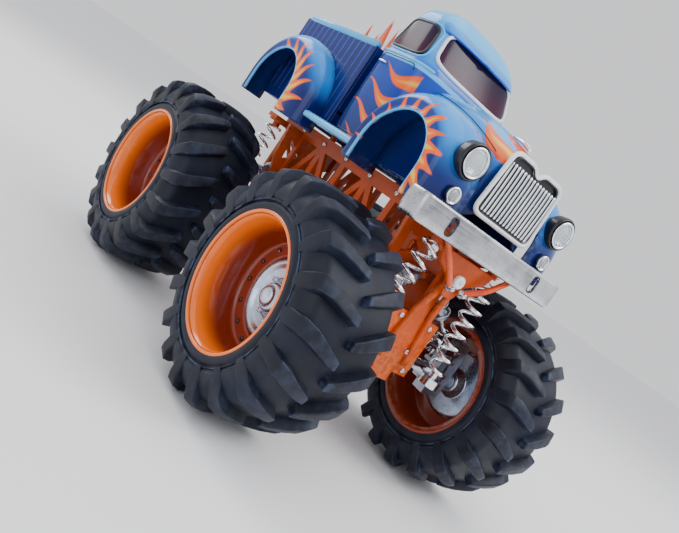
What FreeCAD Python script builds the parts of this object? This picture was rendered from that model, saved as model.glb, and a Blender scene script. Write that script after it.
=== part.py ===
import FreeCAD, Part
import math
import operator
import os
import Sketcher

# A radio-controlled monster truck on four independently sprung wheels.
# Millimetres. +Z is up, the nose points to -Y and +X is the truck's left.
# The origin is on the floor, midway between the axles and between the wheels.

V = FreeCAD.Vector
document = FreeCAD.newDocument("rc_monster_truck")
sheet = document.addObject("Spreadsheet::Sheet", "Sizes")

SIZES = {
    # wheels
    "tyre_radius": 80,
    "tyre_width": 72,
    "lug_height": 6,
    "lug_count": 18,
    "wheel_x": 100,
    "axle_y": 109,
    "bead_radius": 45,
    "barrel_radius": 42,
    "rim_lip_radius": 48,
    "rim_lip": 2,
    "web_face_x": -2,
    "web_thick": 4,
    "tyre_shoulder": 12,
    "lug_root": 4,
    "spindle_radius": 4,
    "hub_disc_radius": 27,
    "hub_boss_radius": 7,
    "hub_cap_radius": 4.5,
    "lug_bolt_circle": 11,
    "lug_bolt_radius": 1.5,
    "lug_bolt_count": 8,
    # suspension links: both arms of a corner have the same length
    "arm_in_x": 16,
    "arm_length": 48,
    "arm_rise": 24,
    "arm_tube_radius": 5.5,
    "link_tube_radius": 4.5,
    "pin_radius": 2,
    "running_gap": 0.06,
    "seat_gap": 0.02,
    "kingpin_offset": 10,
    "carrier_half": 5.7,
    # dampers and springs
    "damper_top_x": 10,
    "damper_top_z": 142,
    "damper_foot_x": 50,
    "damper_foot_rise": 7,
    "damper_tube_radius": 5.5,
    "damper_rod_radius": 1.8,
    "damper_slack": 0.6,
    "spring_offset": 18,
    "spring_top_x": 34,
    "spring_top_z": 170,
    "spring_foot_x": 46,
    "spring_foot_z": 83,
    "spring_radius": 7,
    "spring_wire": 1.1,
    # steering
    "steer_arm": 20.4,
    "steer_z": 92,
    "rack_half_height": 4,
    "rack_thick": 3,
    "horn_length": 18,
    # drive
    "gear_module": 1,
    "spur_teeth": 30,
    "pinion_teeth": 10,
    "spur_y": 70,
    "gear_face": 5,
    "motor_radius": 12,
    "motor_length": 34,
    # chassis frame
    "frame_half": 24,
    "plate_thick": 3.5,
    "side_plate_thick": 3,
    "post_x": 18,
    "post_y": 60,
    "post_radius": 3,
    "deck_z": 118,
    "deck_thick": 3,
    "rail_low_z": 172,
    "rail_top_z": 184,
    "rail_end_y": 132,
    # body shell
    "wall": 3,
    "sill_z": 187,
    "nose_y": 134,
    "hood_half": 42,
    "hood_front_z": 238,
    "hood_rear_z": 262,
    "cab_half": 56,
    "cab_front_y": 39,
    "cab_rear_y": 28,
    "roof_z": 319,
    "belt_z": 268,
    "bed_end_y": 147,
    "bed_floor_z": 206,
    "cargo_pad_rise": 2,
    "fender_half": 78,
    "fender_radius": 50,
    "arch_radius": 31,
    "arch_z": 197,
    "fender_foot_z": 178,
    "front_arch_y": 86,
    "rear_arch_y": 96,
    "board_half": 70,
    # front end trim
    "bumper_half": 82,
    "bumper_low_z": 170,
    "bumper_high_z": 189,
    "bumper_face_y": 148,
    "grille_half": 34,
    "grille_low_z": 195,
    "grille_high_z": 245,
    "lamp_x": 56,
    "lamp_z": 220,
    "lamp_radius": 10,
    "fog_lamp_radius": 5.5,
}

CORNERS = (
    # name, side (+1 is the truck's left), end (-1 is the front)
    ("front_left", 1, -1),
    ("front_right", -1, -1),
    ("rear_left", 1, 1),
    ("rear_right", -1, 1),
)

SIGNS = {"+": operator.add, "-": operator.sub, "*": operator.mul, "/": operator.truediv}

nodes = {}


# ---------------------------------------------------------------- sizes that follow the sheet

class Size:
    """A number together with the spreadsheet expression that it comes from."""

    def __init__(self, number, text):
        self.number = number
        self.text = text

    def __add__(self, other):
        return combined(self, "+", other)

    def __radd__(self, other):
        return combined(other, "+", self)

    def __sub__(self, other):
        return combined(self, "-", other)

    def __rsub__(self, other):
        return combined(other, "-", self)

    def __mul__(self, other):
        return combined(self, "*", other)

    def __rmul__(self, other):
        return combined(other, "*", self)

    def __truediv__(self, other):
        return combined(self, "/", other)

    def __neg__(self):
        return combined(-1, "*", self)


def number_of(value):
    return float(value.number if isinstance(value, Size) else value)


def text_of(value):
    return value.text if isinstance(value, Size) else repr(float(value))


def combined(left, sign, right):
    number = SIGNS[sign](number_of(left), number_of(right))
    return Size(number, f"({text_of(left)} {sign} {text_of(right)})")


def fill_sheet():
    for row, (alias, value) in enumerate(SIZES.items(), start=1):
        sheet.set(f"A{row}", alias)
        sheet.set(f"B{row}", str(value))
        sheet.setAlias(f"B{row}", alias)
    document.recompute()


def sized(alias):
    return Size(float(SIZES[alias]), f"Sizes.{alias}")


def bind(thing, name, value):
    """Set a property from a size, and keep it following the sheet."""
    if isinstance(value, Size):
        thing.setExpression(name, value.text)
    else:
        parts = name.split(".")
        if len(parts) == 1:
            setattr(thing, name, value)
        else:
            thing.setExpression(name, text_of(value))


# ---------------------------------------------------------------- solids

def new_name(kind):
    """A fresh internal name for a helper object."""
    return f"{kind}_{len(document.Objects)}"


def place(thing, x=0, y=0, z=0, turn=0, axis=V(0, 0, 1)):
    thing.Placement = FreeCAD.Placement(V(0, 0, 0), FreeCAD.Rotation(axis, turn))
    for letter, value in (("x", x), ("y", y), ("z", z)):
        if isinstance(value, Size) or value != 0:
            thing.setExpression(f"Placement.Base.{letter}", text_of(value))
    return thing


def block(x, y, z):
    """A box between two limits on each axis."""
    spans = [sorted(limits, key=number_of) for limits in (x, y, z)]
    box = document.addObject("Part::Box", new_name("block"))
    for name, (low, high) in zip(("Length", "Width", "Height"), spans):
        bind(box, name, high - low)
    return place(box, spans[0][0], spans[1][0], spans[2][0])


def rod(axis, radius, span, x=0, y=0, z=0):
    """A cylinder along X, Y or Z between two limits, through the given point of the other axes."""
    low, high = sorted(span, key=number_of)
    cylinder = document.addObject("Part::Cylinder", new_name("rod"))
    bind(cylinder, "Radius", radius)
    bind(cylinder, "Height", high - low)
    if axis == "X":
        return place(cylinder, low, y, z, 90, V(0, 1, 0))
    if axis == "Y":
        return place(cylinder, x, low, z, -90, V(1, 0, 0))
    return place(cylinder, x, y, low)


def ball(radius, x=0, y=0, z=0):
    sphere = document.addObject("Part::Sphere", new_name("ball"))
    bind(sphere, "Radius", radius)
    return place(sphere, x, y, z)


def fused(parts, label=None):
    joined = document.addObject("Part::MultiFuse", new_name("joined"))
    joined.Shapes = parts
    return named(joined, label)


def cut(base, tools, label=None):
    result = document.addObject("Part::Cut", new_name("cut"))
    result.Base = base
    result.Tool = tools[0] if len(tools) == 1 else fused(tools)
    return named(result, label)


def grouped(parts, label):
    """Several separate solids that are kept as one node."""
    group = document.addObject("Part::Compound", new_name("group"))
    group.Links = parts
    return named(group, label)


def named(thing, label):
    if label:
        thing.Label = label
        nodes[label] = thing
    return thing


# ---------------------------------------------------------------- sketched bodies

def new_body(label=None):
    body = document.addObject("PartDesign::Body", new_name("body"))
    return named(body, label)


def new_sketch(body, plane):
    sketch = body.newObject("Sketcher::SketchObject", new_name("sketch"))
    support = [item for item in body.Origin.OriginFeatures if item.Role == plane][0]
    sketch.AttachmentSupport = [(support, "")]
    sketch.MapMode = "FlatFace"
    return sketch


def pin_point(sketch, geometry, point, u, v):
    for kind, value in (("DistanceX", u), ("DistanceY", v)):
        limit = Sketcher.Constraint(kind, -1, 1, geometry, point, number_of(value))
        index = sketch.addConstraint(limit)
        if isinstance(value, Size):
            sketch.setExpression(f"Constraints[{index}]", value.text)


def draw_outline(sketch, points):
    """A closed outline of straight lines, with every corner tied to the sizes."""
    first = sketch.GeometryCount
    count = len(points)
    corners = [V(number_of(u), number_of(v), 0) for u, v in points]
    for index in range(count):
        line = Part.LineSegment(corners[index], corners[(index + 1) % count])
        sketch.addGeometry(line, False)
    for index in range(count):
        after = (index + 1) % count
        sketch.addConstraint(Sketcher.Constraint("Coincident", first + index, 2, first + after, 1))
    for index, (u, v) in enumerate(points):
        pin_point(sketch, first + index, 1, u, v)


def draw_circle(sketch, u, v, radius):
    centre = V(number_of(u), number_of(v), 0)
    index = sketch.addGeometry(Part.Circle(centre, V(0, 0, 1), number_of(radius)), False)
    pin_point(sketch, index, 3, u, v)
    limit = sketch.addConstraint(Sketcher.Constraint("Radius", index, number_of(radius)))
    if isinstance(radius, Size):
        sketch.setExpression(f"Constraints[{limit}]", radius.text)


def padded(plane, outlines, depth, circles=(), label=None):
    """A plate: outlines and round holes on a plane, thickened to one side of it."""
    body = new_body(label)
    sketch = new_sketch(body, plane)
    for outline in outlines:
        draw_outline(sketch, outline)
    for circle in circles:
        draw_circle(sketch, *circle)
    pad = body.newObject("PartDesign::Pad", new_name("pad"))
    pad.Profile = sketch
    bind(pad, "Length", depth)
    sketch.Visibility = False
    return body


def turned(outline, label=None):
    """A solid of revolution about X: the outline's points are (x, radius)."""
    body = new_body(label)
    sketch = new_sketch(body, "XZ_Plane")
    draw_outline(sketch, outline)
    revolution = body.newObject("PartDesign::Revolution", new_name("turning"))
    revolution.Profile = sketch
    revolution.ReferenceAxis = (sketch, ["H_Axis"])
    revolution.Angle = 360
    sketch.Visibility = False
    return body


def round_edges(body, radius, wanted):
    """Fillet the edges of the body's last feature whose middle passes the test."""
    document.recompute()
    tip = body.Tip
    names = [f"Edge{index}" for index, edge in enumerate(tip.Shape.Edges, start=1)
             if wanted(edge.CenterOfMass, edge)]
    fillet = body.newObject("PartDesign::Fillet", new_name("fillet"))
    fillet.Base = (tip, names)
    bind(fillet, "Radius", radius)
    return body


# ---------------------------------------------------------------- wheels

def make_tyre(name, side, end):
    """A balloon tyre with two rows of slanting lugs that meet in a chevron."""
    half = tyre_width / 2
    carcass = tyre_radius - lug_height
    shoulder = half - tyre_shoulder
    body = turned((
        (-half, bead_radius),
        (-half, carcass - tyre_shoulder),
        (-shoulder, carcass),
        (shoulder, carcass),
        (half, carcass - tyre_shoulder),
        (half, bead_radius),
    ))
    lug_start = 1.5
    lug_end = half - 3
    for row in (-1, 1):
        sketch = new_sketch(body, "XY_Plane")
        bind(sketch, "AttachmentOffset.Base.z", carcass - lug_root)
        draw_outline(sketch, (
            (row * lug_start, -7),
            (row * lug_start, 0),
            (row * lug_end, 11),
            (row * lug_end, 2),
        ))
        lug = body.newObject("PartDesign::Pad", new_name("lug"))
        lug.Profile = sketch
        bind(lug, "Length", lug_height + lug_root)
        pattern = body.newObject("PartDesign::PolarPattern", new_name("lugs"))
        pattern.Originals = [lug]
        spin = [item for item in body.Origin.OriginFeatures if item.Role == "X_Axis"][0]
        pattern.Axis = (spin, [""])
        pattern.Angle = 360
        bind(pattern, "Occurrences", int(SIZES["lug_count"]))
        body.Tip = pattern
    place_corner(body, side, end, wheel_x)
    seats = [lip_seat(row, side, end) for row in (-1, 1)]
    cut(body, seats, f"tyre_{name}")


def lip_seat(row, side, end):
    """The groove in a tyre's bead that one lip of the rim sits in."""
    edge = row * rim_half()
    seat = turned((
        (edge - row * (rim_lip + 0.5), bead_radius),
        (edge - row * rim_lip, rim_lip_radius + seat_gap),
        (edge, rim_lip_radius + seat_gap),
        (edge, bead_radius),
    ))
    return place_corner(seat, side, end, wheel_x)


def rim_half():
    """Half the rim's width, a little inside the tyre's sidewalls."""
    return tyre_width / 2 - 1


def place_corner(thing, side, end, x, z=None):
    """Put a piece drawn for the left side at its corner, turned round for the right side."""
    height = tyre_radius if z is None else z
    return place(thing, side * x, end * axle_y, height, 0 if side > 0 else 180)


def make_rim(name, side, end):
    """A deep rim: open barrel with a lip at each end. The wheel's centre sits inside it."""
    half = rim_half()
    rim = turned((
        (-half, barrel_radius),
        (-half, rim_lip_radius),
        (rim_lip - half, rim_lip_radius),
        (rim_lip + 0.5 - half, bead_radius),
        (half - rim_lip - 0.5, bead_radius),
        (half - rim_lip, rim_lip_radius),
        (half, rim_lip_radius),
        (half, barrel_radius),
    ), f"rim_{name}")
    place_corner(rim, side, end, wheel_x)


def make_hub(name, side, end):
    """The wheel's centre: web, silver disc with lug bolts, cap, and its bore or drive stub."""
    driven = end > 0
    boss_out = 9
    boss_in = -13
    socket_radius = 3.2
    pieces = [
        rod("X", barrel_radius - seat_gap, (web_face_x - web_thick, web_face_x)),
        rod("X", hub_disc_radius, (web_face_x, 1)),
        rod("X", hub_boss_radius, (boss_in, boss_out)),
        rod("X", hub_cap_radius, (boss_out, boss_out + 2)),
    ]
    step = 2 * math.pi / SIZES["lug_bolt_count"]
    for index in range(SIZES["lug_bolt_count"]):
        pieces.append(rod("X", lug_bolt_radius, (0, 3.5), y=lug_bolt_circle * math.cos(step * index),
                          z=lug_bolt_circle * math.sin(step * index)))
    if driven:
        stub_end = arm_in_x + arm_length - 4 - wheel_x
        pieces.append(rod("X", spindle_radius, (stub_end, 0)))
        tools = [rod("X", socket_radius, (stub_end - 1, stub_end + 7))]
    else:
        tools = [rod("X", spindle_radius + running_gap, (boss_in - 1, boss_out - 2))]
    hub = cut(fused(pieces), tools, f"hub_{name}")
    place_corner(hub, side, end, wheel_x)


# ---------------------------------------------------------------- suspension

def arm_fork(radius, width, reach, tube_start, tube_end):
    """Two cheeks at each end of an arm that lies along X from its inner pivot."""
    pieces = []
    for pivot in (0, reach):
        inward = tube_start if pivot == 0 else tube_end
        for cheek in (-1, 1):
            low = cheek * width[pivot != 0][0]
            high = cheek * width[pivot != 0][1]
            pieces.append(rod("Y", radius, (low, high), x=pivot))
            pieces.append(block((pivot, inward), (low, high), (-radius, radius)))
    return pieces


def make_lower_arm(name, side, end):
    """Tube at hub height with a fork at each end and a seat for the coil spring."""
    reach = arm_length
    start = 9
    stop = arm_length - 8
    outward = side * end
    seat_x = spring_foot_x - arm_in_x
    seat_top = spring_foot_z - tyre_radius - 1.5
    pieces = arm_fork(4.6, ((7, 10), (6, 9)), reach, start + 3, stop - 3)
    pieces += [
        rod("X", arm_tube_radius, (start, stop)),
        block((start, start + 4), (-10, 10), (-4.6, 4.6)),
        block((stop - 4, stop), (-9, 9), (-4.6, 4.6)),
        block((seat_x - 4, seat_x + 4), (0, outward * spring_offset), (-5, seat_top)),
        rod("Z", spring_radius + 1.5, (-5, seat_top), x=seat_x, y=outward * spring_offset),
        rod("Z", 3.5, (seat_top - 2, seat_top + 5), x=seat_x, y=outward * spring_offset),
    ]
    tools = [
        rod("X", 3.4, (start - 2, stop + 2)),
        rod("Y", pin_radius + running_gap, (-12, 12)),
        rod("Y", pin_radius + running_gap, (-12, 12), x=reach),
    ]
    arm = cut(fused(pieces), tools, f"lower_arm_{name}")
    place_corner(arm, side, end, arm_in_x)


def make_upper_arm(name, side, end):
    """Thinner tube above the lower arm, with a lug on top for the damper's foot."""
    reach = arm_length
    start = 9
    stop = arm_length - 8
    foot_x = damper_foot_x - arm_in_x
    pieces = arm_fork(4.2, ((7, 10), (6, 9)), reach, start + 3, stop - 3)
    pieces += [
        rod("X", link_tube_radius, (start, stop)),
        block((start, start + 4), (-10, 10), (-4.2, 4.2)),
        block((stop - 4, stop), (-9, 9), (-4.2, 4.2)),
        rod("Y", pin_radius, (-6, 6), x=foot_x, z=damper_foot_rise),
    ]
    for cheek in (-1, 1):
        pieces.append(block((foot_x - 4, foot_x + 4), (cheek * 4, cheek * 6), (0, damper_foot_rise)))
        pieces.append(rod("Y", 4, (cheek * 4, cheek * 6), x=foot_x, z=damper_foot_rise))
    # the damper's foot turns in a hollow in the top of the tube
    tools = [
        rod("Y", pin_radius + running_gap, (-12, 12)),
        rod("Y", pin_radius + running_gap, (-12, 12), x=reach),
        cut(rod("Y", 7.2, (-3.9, 3.9), x=foot_x, z=damper_foot_rise),
            [rod("Y", pin_radius, (-4, 4), x=foot_x, z=damper_foot_rise)]),
    ]
    arm = cut(fused(pieces), tools, f"upper_arm_{name}")
    place_corner(arm, side, end, arm_in_x, tyre_radius + arm_rise)


def trunnions(x):
    """The four short pins of a carrier that the arms' outer forks turn on."""
    pins = []
    for height in (0, arm_rise):
        for cheek in (-1, 1):
            pins.append(rod("Y", pin_radius, (cheek * (carrier_half - 1), cheek * 9.5), x=x, z=height))
    return pins


def make_carrier(name, side, end):
    """Front carrier: web between the arms, with a lug above and below for the kingpins."""
    pivot_x = arm_in_x + arm_length
    king_x = pivot_x + kingpin_offset
    half = carrier_half
    pieces = trunnions(pivot_x)
    pieces += [
        block((pivot_x - 4, pivot_x + 3), (-half, half), (-15, 32)),
        block((pivot_x - 4, king_x + 5), (-half, half), (27, 32)),
        block((pivot_x - 4, king_x + 5), (-half, half), (-16, -11)),
    ]
    tools = [rod("Z", pin_radius + running_gap, (-20, 36), x=king_x)]
    carrier = cut(fused(pieces), tools, f"carrier_{name}")
    place_corner(carrier, side, end, 0)


def make_knuckle(name, side, end):
    """Steering knuckle: block on its kingpins, wheel spindle and steering arm with its ball."""
    king_x = arm_in_x + arm_length + kingpin_offset
    inward = -side * end
    tie_y = inward * steer_arm
    tie_z = steer_z - tyre_radius
    pieces = [
        block((king_x - 5, king_x + 5), (-6, 6), (-10.7, 26.7)),
        rod("Z", pin_radius, (-15.5, 31.5), x=king_x),
        rod("X", spindle_radius, (king_x + 4, wheel_x + 6)),
        rod("X", 6, (king_x + 4, wheel_x - 14)),
        block((king_x - 3, king_x + 3), (0, tie_y), (4, 7)),
        rod("Z", 3, (4, 7), x=king_x, y=tie_y),
        rod("Z", 1.1, (6, tie_z), x=king_x, y=tie_y),
        ball(1.9, king_x, tie_y, tie_z),
    ]
    knuckle = fused(pieces, f"knuckle_{name}")
    place_corner(knuckle, side, end, 0)


def make_upright(name, side, end):
    """Rear upright: web between the arms and a bearing boss for the driven stub."""
    pivot_x = arm_in_x + arm_length
    half = carrier_half
    pieces = trunnions(pivot_x)
    pieces += [
        block((pivot_x - 4, pivot_x + 3), (-half, half), (-9, 30)),
        rod("X", 5.5, (pivot_x + 2, pivot_x + 7)),
        rod("X", 8.5, (pivot_x + 5.5, wheel_x - 15)),
        block((pivot_x + 2, wheel_x - 20), (-2, 2), (6, 24)),
    ]
    tools = [
        rod("X", spindle_radius + running_gap, (pivot_x - 6, wheel_x - 14)),
    ]
    upright = cut(fused(pieces), tools, f"upright_{name}")
    place_corner(upright, side, end, 0)


def damper_span():
    """Across and down distances from a damper's top pivot to its foot, and their length."""
    across = number_of(damper_foot_x - damper_top_x)
    down = number_of(damper_top_z - tyre_radius - arm_rise - damper_foot_rise)
    return across, down, math.hypot(across, down)


def lean_damper(thing, side, end):
    across, down, _ = damper_span()
    lean = math.degrees(math.atan2(across, down))
    place(thing, side * damper_top_x, end * axle_y, damper_top_z, -side * lean, V(0, 1, 0))


def make_damper(name, side, end):
    """Oil damper that hangs from the tower: tube with its eye, and rod with its foot."""
    _, _, length = damper_span()
    tube = [
        rod("Y", 4.2, (-3, 3)),
        rod("Z", 4, (-8, 0)),
        rod("Z", damper_tube_radius, (-31, -6)),
        rod("Z", damper_tube_radius + 0.6, (-31, -27)),
        rod("Z", damper_tube_radius + 0.6, (-11, -6)),
    ]
    hollow = [
        rod("Y", pin_radius + running_gap, (-5, 5)),
        rod("Z", 4, (-28.5, -9)),
        rod("Z", damper_rod_radius + running_gap, (-33, -27)),
    ]
    body = cut(fused(tube), hollow, f"damper_body_{name}")
    lean_damper(body, side, end)
    foot = [
        rod("Z", damper_rod_radius, (3 - length, -20)),
        rod("Z", 3.8, (-23, -20)),
        rod("Y", pin_radius + damper_slack + 2.2, (-3, 3), z=-length),
    ]
    eye = [rod("Y", pin_radius + damper_slack, (-5, 5), z=-length)]
    plunger = cut(fused(foot), eye, f"damper_rod_{name}")
    lean_damper(plunger, side, end)


def make_spring(name, side, end):
    """Open coil between the frame's cross beam and the lower arm's seat."""
    across = number_of(spring_foot_x - spring_top_x)
    down = number_of(spring_top_z - spring_foot_z) - 2 * SIZES["spring_wire"] - 1.6
    length = math.hypot(across, down)
    helix = document.addObject("Part::Helix", new_name("helix"))
    helix.Pitch = length / 8
    helix.Height = length
    bind(helix, "Radius", spring_radius)
    wire = document.addObject("Part::Circle", new_name("wire"))
    bind(wire, "Radius", spring_wire)
    place(wire, spring_radius, 0, 0, 90, V(1, 0, 0))
    coil = document.addObject("Part::Sweep", new_name("coil"))
    coil.Sections = [wire]
    coil.Spine = (helix, ["Edge1"])
    coil.Solid = True
    coil.Frenet = True
    named(coil, f"spring_{name}")
    lean = -side * math.degrees(math.atan2(across, down))
    base_z = spring_foot_z + spring_wire + 0.5
    place(coil, side * spring_foot_x, end * (axle_y + spring_offset), base_z, lean, V(0, 1, 0))


def make_corner(name, side, end):
    make_tyre(name, side, end)
    make_rim(name, side, end)
    make_hub(name, side, end)
    make_lower_arm(name, side, end)
    make_upper_arm(name, side, end)
    if end < 0:
        make_carrier(name, side, end)
        make_knuckle(name, side, end)
    else:
        make_upright(name, side, end)
    make_damper(name, side, end)
    make_spring(name, side, end)


# ---------------------------------------------------------------- steering

def make_steering():
    """Servo under the deck, its horn, the rack with its slot, and the two tie rods."""
    tie_y = steer_arm - axle_y
    front = tie_y - 2
    pivot_x = arm_in_x + kingpin_offset
    half = rack_half_height
    horn_z = steer_z + horn_length
    face_y = tie_y + 3.5
    servo = fused([
        block((-10, 10), (face_y, face_y + 28), (horn_z - 10, deck_z)),
        rod("Y", 5, (face_y - 0.6, face_y + 1), z=horn_z),
    ], "steering_servo")
    servo.Refine = True
    fused([
        rod("Y", 4.5, (face_y - 2.8, face_y - 0.8), z=horn_z),
        block((-2.5, 2.5), (face_y - 2.8, face_y - 0.8), (steer_z, horn_z)),
        rod("Y", 2.5, (face_y - 2.8, face_y - 0.8), z=steer_z),
        rod("Y", 1.6, (front - rack_thick - 0.5, face_y - 1), z=steer_z),
    ], "servo_horn")
    rack = [block((-pivot_x - 3.5, pivot_x + 3.5), (front - rack_thick, front),
                  (steer_z - half, steer_z + half))]
    for side in (-1, 1):
        rack.append(rod("Y", 1.5, (front - 1, tie_y + 2.2), x=side * pivot_x, z=steer_z))
    slot = block((-1.75, 1.75), (front - rack_thick - 1, front + 1), (steer_z - 2.6, steer_z + 5))
    cut(fused(rack), [slot], "steering_rack")
    for label, side in (("tie_rod_left", 1), ("tie_rod_right", -1)):
        outer = side * (pivot_x + arm_length)
        inner = side * pivot_x
        pieces = [
            rod("Y", 3.6, (tie_y - 1.8, tie_y + 1.8), x=inner, z=steer_z),
            rod("X", 1.4, (inner + side * 2, outer - side * 4), y=tie_y, z=steer_z),
            rod("Z", 4.8, (steer_z - 1.8, steer_z + 1.8), x=outer, y=tie_y),
        ]
        tools = [
            rod("Y", 1.5 + running_gap, (tie_y - 3, tie_y + 3), x=inner, z=steer_z),
            rod("Z", 3.1, (steer_z - 4, steer_z + 4), x=outer, y=tie_y),
        ]
        cut(fused(pieces), tools, label)


# ---------------------------------------------------------------- drive

def gear_outline(teeth, module_size, start):
    """Straight-sided teeth, thin enough to run freely in mesh. Points are (across, up)."""
    pitch_radius = number_of(teeth) * module_size / 2
    root = pitch_radius - 1.2 * module_size
    tip = pitch_radius + 0.85 * module_size
    step = 2 * math.pi / number_of(teeth)
    points = []
    for index in range(int(number_of(teeth))):
        middle = start + index * step
        for radius, share in ((root, -0.29), (tip, -0.11), (tip, 0.11), (root, 0.29)):
            angle = middle + share * step
            points.append(V(radius * math.cos(angle), 0, radius * math.sin(angle)))
    return points


def gear_feature(teeth, start):
    """The toothed disc itself, about Y, one face width thick."""
    points = gear_outline(teeth, SIZES["gear_module"], start)
    face = Part.Face(Part.makePolygon(points + points[:1]))
    disc = document.addObject("Part::Feature", new_name("gear"))
    disc.Shape = face.extrude(V(0, SIZES["gear_face"], 0))
    place(disc, 0, spur_y, 0)
    return disc


def make_drive():
    """Motor and pinion over the spur gear, whose shaft drives the case in the rear axle."""
    shaft_z = tyre_radius
    motor_z = shaft_z + gear_module * (spur_teeth + pinion_teeth) / 2
    mount_y = spur_y - 6
    half_step = math.pi / SIZES["spur_teeth"]

    spur_disc = gear_feature(spur_teeth, math.pi / 2 + half_step)
    bind(spur_disc, "Placement.Base.z", shaft_z)
    fused([
        spur_disc,
        rod("Y", 3, (mount_y - 4, axle_y - 9), z=shaft_z),
        rod("Y", 6, (spur_y - 1, spur_y + gear_face + 2), z=shaft_z),
        rod("Y", 2.4, (axle_y - 9, axle_y - 4.6), z=shaft_z),
    ], "spur_gear")

    pinion_disc = gear_feature(pinion_teeth, -math.pi / 2)
    bind(pinion_disc, "Placement.Base.z", motor_z)
    fused([
        pinion_disc,
        rod("Y", 1.5, (mount_y - 6, spur_y + gear_face + 1), z=motor_z),
        rod("Y", 3, (spur_y + gear_face, spur_y + gear_face + 3), z=motor_z),
    ], "motor_pinion")

    can = [
        rod("Y", motor_radius, (mount_y - motor_length, mount_y), z=motor_z),
        rod("Y", 5, (mount_y - motor_length - 4, mount_y - motor_length), z=motor_z),
    ]
    cut(fused(can), [rod("Y", 1.5 + running_gap, (mount_y - 8, mount_y + 2), z=motor_z)], "motor")

    case = block((-9, 9), (axle_y - 10.5, axle_y + 10.5), (shaft_z - 12, shaft_z + 18))
    inside = block((-7, 7), (axle_y - 9, axle_y + 9), (shaft_z - 10, shaft_z + 10))
    axle_bore = rod("X", spindle_radius + running_gap, (-10, 10), y=axle_y, z=shaft_z)
    nose_bore = rod("Y", 3 + running_gap, (axle_y - 12, axle_y - 8.5), z=shaft_z)
    cut(case, [inside, axle_bore, nose_bore], "gear_case")

    axle = [
        rod("X", spindle_radius, (-20, 20), y=axle_y, z=shaft_z),
        rod("X", 8.5, (2.6, 5.6), y=axle_y, z=shaft_z),
    ]
    cups = [
        rod("X", 3.2, (12, 21), y=axle_y, z=shaft_z),
        rod("X", 3.2, (-21, -12), y=axle_y, z=shaft_z),
    ]
    cut(fused(axle), cups, "output_shaft")

    for label, side in (("drive_shaft_left", 1), ("drive_shaft_right", -1)):
        inner = side * arm_in_x
        outer = side * (arm_in_x + arm_length)
        fused([
            rod("X", 1.8, (inner, outer), y=axle_y, z=shaft_z),
            ball(2.6, inner, axle_y, shaft_z),
            ball(2.6, outer, axle_y, shaft_z),
        ], label)


# ---------------------------------------------------------------- chassis frame

def truss_windows(top, bottom, first, bay, count, post):
    """Triangular windows of a zigzag truss: two in each bay."""
    windows = []
    for index in range(count):
        low = first + index * bay + post / 2
        high = first + (index + 1) * bay - post / 2
        near, far = (low, high) if index % 2 else (high, low)
        lean = 4 if index % 2 else -4
        windows.append(((near, bottom + 5), (near, top), (far - lean, top)))
        windows.append(((far, top - 5), (far, bottom), (near + lean, bottom)))
    return windows


def make_side_plate(side):
    """One side of the frame: top rail, bottom rail and zigzag bracing."""
    deck_end = axle_y - 12
    outline = (
        (-rail_end_y, rail_top_z),
        (rail_end_y, rail_top_z),
        (rail_end_y, rail_low_z),
        (deck_end, rail_low_z - 14),
        (deck_end, deck_z - 6),
        (-deck_end, deck_z - 6),
        (-deck_end, rail_low_z - 14),
        (-rail_end_y, rail_low_z),
    )
    bay = 38
    bays = 5
    windows = truss_windows(rail_low_z, deck_z + deck_thick, -bay * bays / 2, bay, bays, 7)
    plate = padded("YZ_Plane", (outline, *windows), side_plate_thick)
    half = side_plate_thick / 2
    place(plate, side * (frame_half - half) - half)
    return plate


def make_tower(end):
    """Winged plate beside an axle: carries the arms' pins, the dampers and a cross beam."""
    outline = (
        (-14, 66),
        (14, 66),
        (frame_half, 76),
        (frame_half, 114),
        (37, 146),
        (40, rail_low_z + 4),
        (-40, rail_low_z + 4),
        (-37, 146),
        (-frame_half, 114),
        (-frame_half, 76),
    )
    windows = [((side * 29, 146), (side * 14, 154), (side * 30, 165)) for side in (-1, 1)]
    circles = [(0, tyre_radius, 5), (0, 160, 6)]
    plate = padded("XZ_Plane", (outline, *windows), plate_thick, circles)
    near = axle_y - 10.5
    place(plate, 0, near if end > 0 else plate_thick - near, 0)
    return plate


def make_bulkhead(end):
    """Plates, stub pins and cross beams that hold one axle's arms, dampers and springs."""
    inner = end * (axle_y - 10.5)
    outer = end * (axle_y + 10.5)
    far = end * (axle_y + 10.5 + plate_thick)
    reach = frame_half
    pieces = [
        make_tower(end),
        block((-reach, reach), (outer, far), (72, 116)),
        block((-10, 10), (inner, outer), (64, 68)),
        block((-10, 10), (outer, far), (64, 73)),
        block((-reach, reach), (inner, far), (113, 116)),
        block((-42, 42), (outer, end * (axle_y + 26)), (rail_low_z, rail_low_z + 4)),
        block((-6, 6), (outer, far), (115, rail_low_z + 1)),
    ]
    # the dampers pass through the shelf between the two plates
    slots = [
        block((side * 6, side * (reach - 5)), (inner - end, outer + end), (112, 117))
        for side in (-1, 1)
    ]
    for side in (-1, 1):
        pieces.append(rod("Y", 3.5, (end * (axle_y - 11), end * (axle_y - 4.3)),
                          x=side * damper_top_x, z=damper_top_z))
        for height in (tyre_radius, tyre_radius + arm_rise):
            x = side * arm_in_x
            pieces.append(rod("Y", pin_radius, (inner - end, end * (axle_y - 7.2)), x=x, z=height))
            pieces.append(rod("Y", pin_radius, (outer + end, end * (axle_y + 7.2)), x=x, z=height))
        pieces.append(rod("Y", pin_radius, (inner - end, end * (axle_y + 4.5)),
                          x=side * damper_top_x, z=damper_top_z))
        pieces.append(rod("Z", 3.5, (spring_top_z - 4, rail_low_z + 1),
                          x=side * spring_top_x, y=end * (axle_y + spring_offset)))
        pieces.append(rod("Z", spring_radius + 1.5, (spring_top_z, rail_low_z + 1),
                          x=side * spring_top_x, y=end * (axle_y + spring_offset)))
    return pieces, slots


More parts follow.
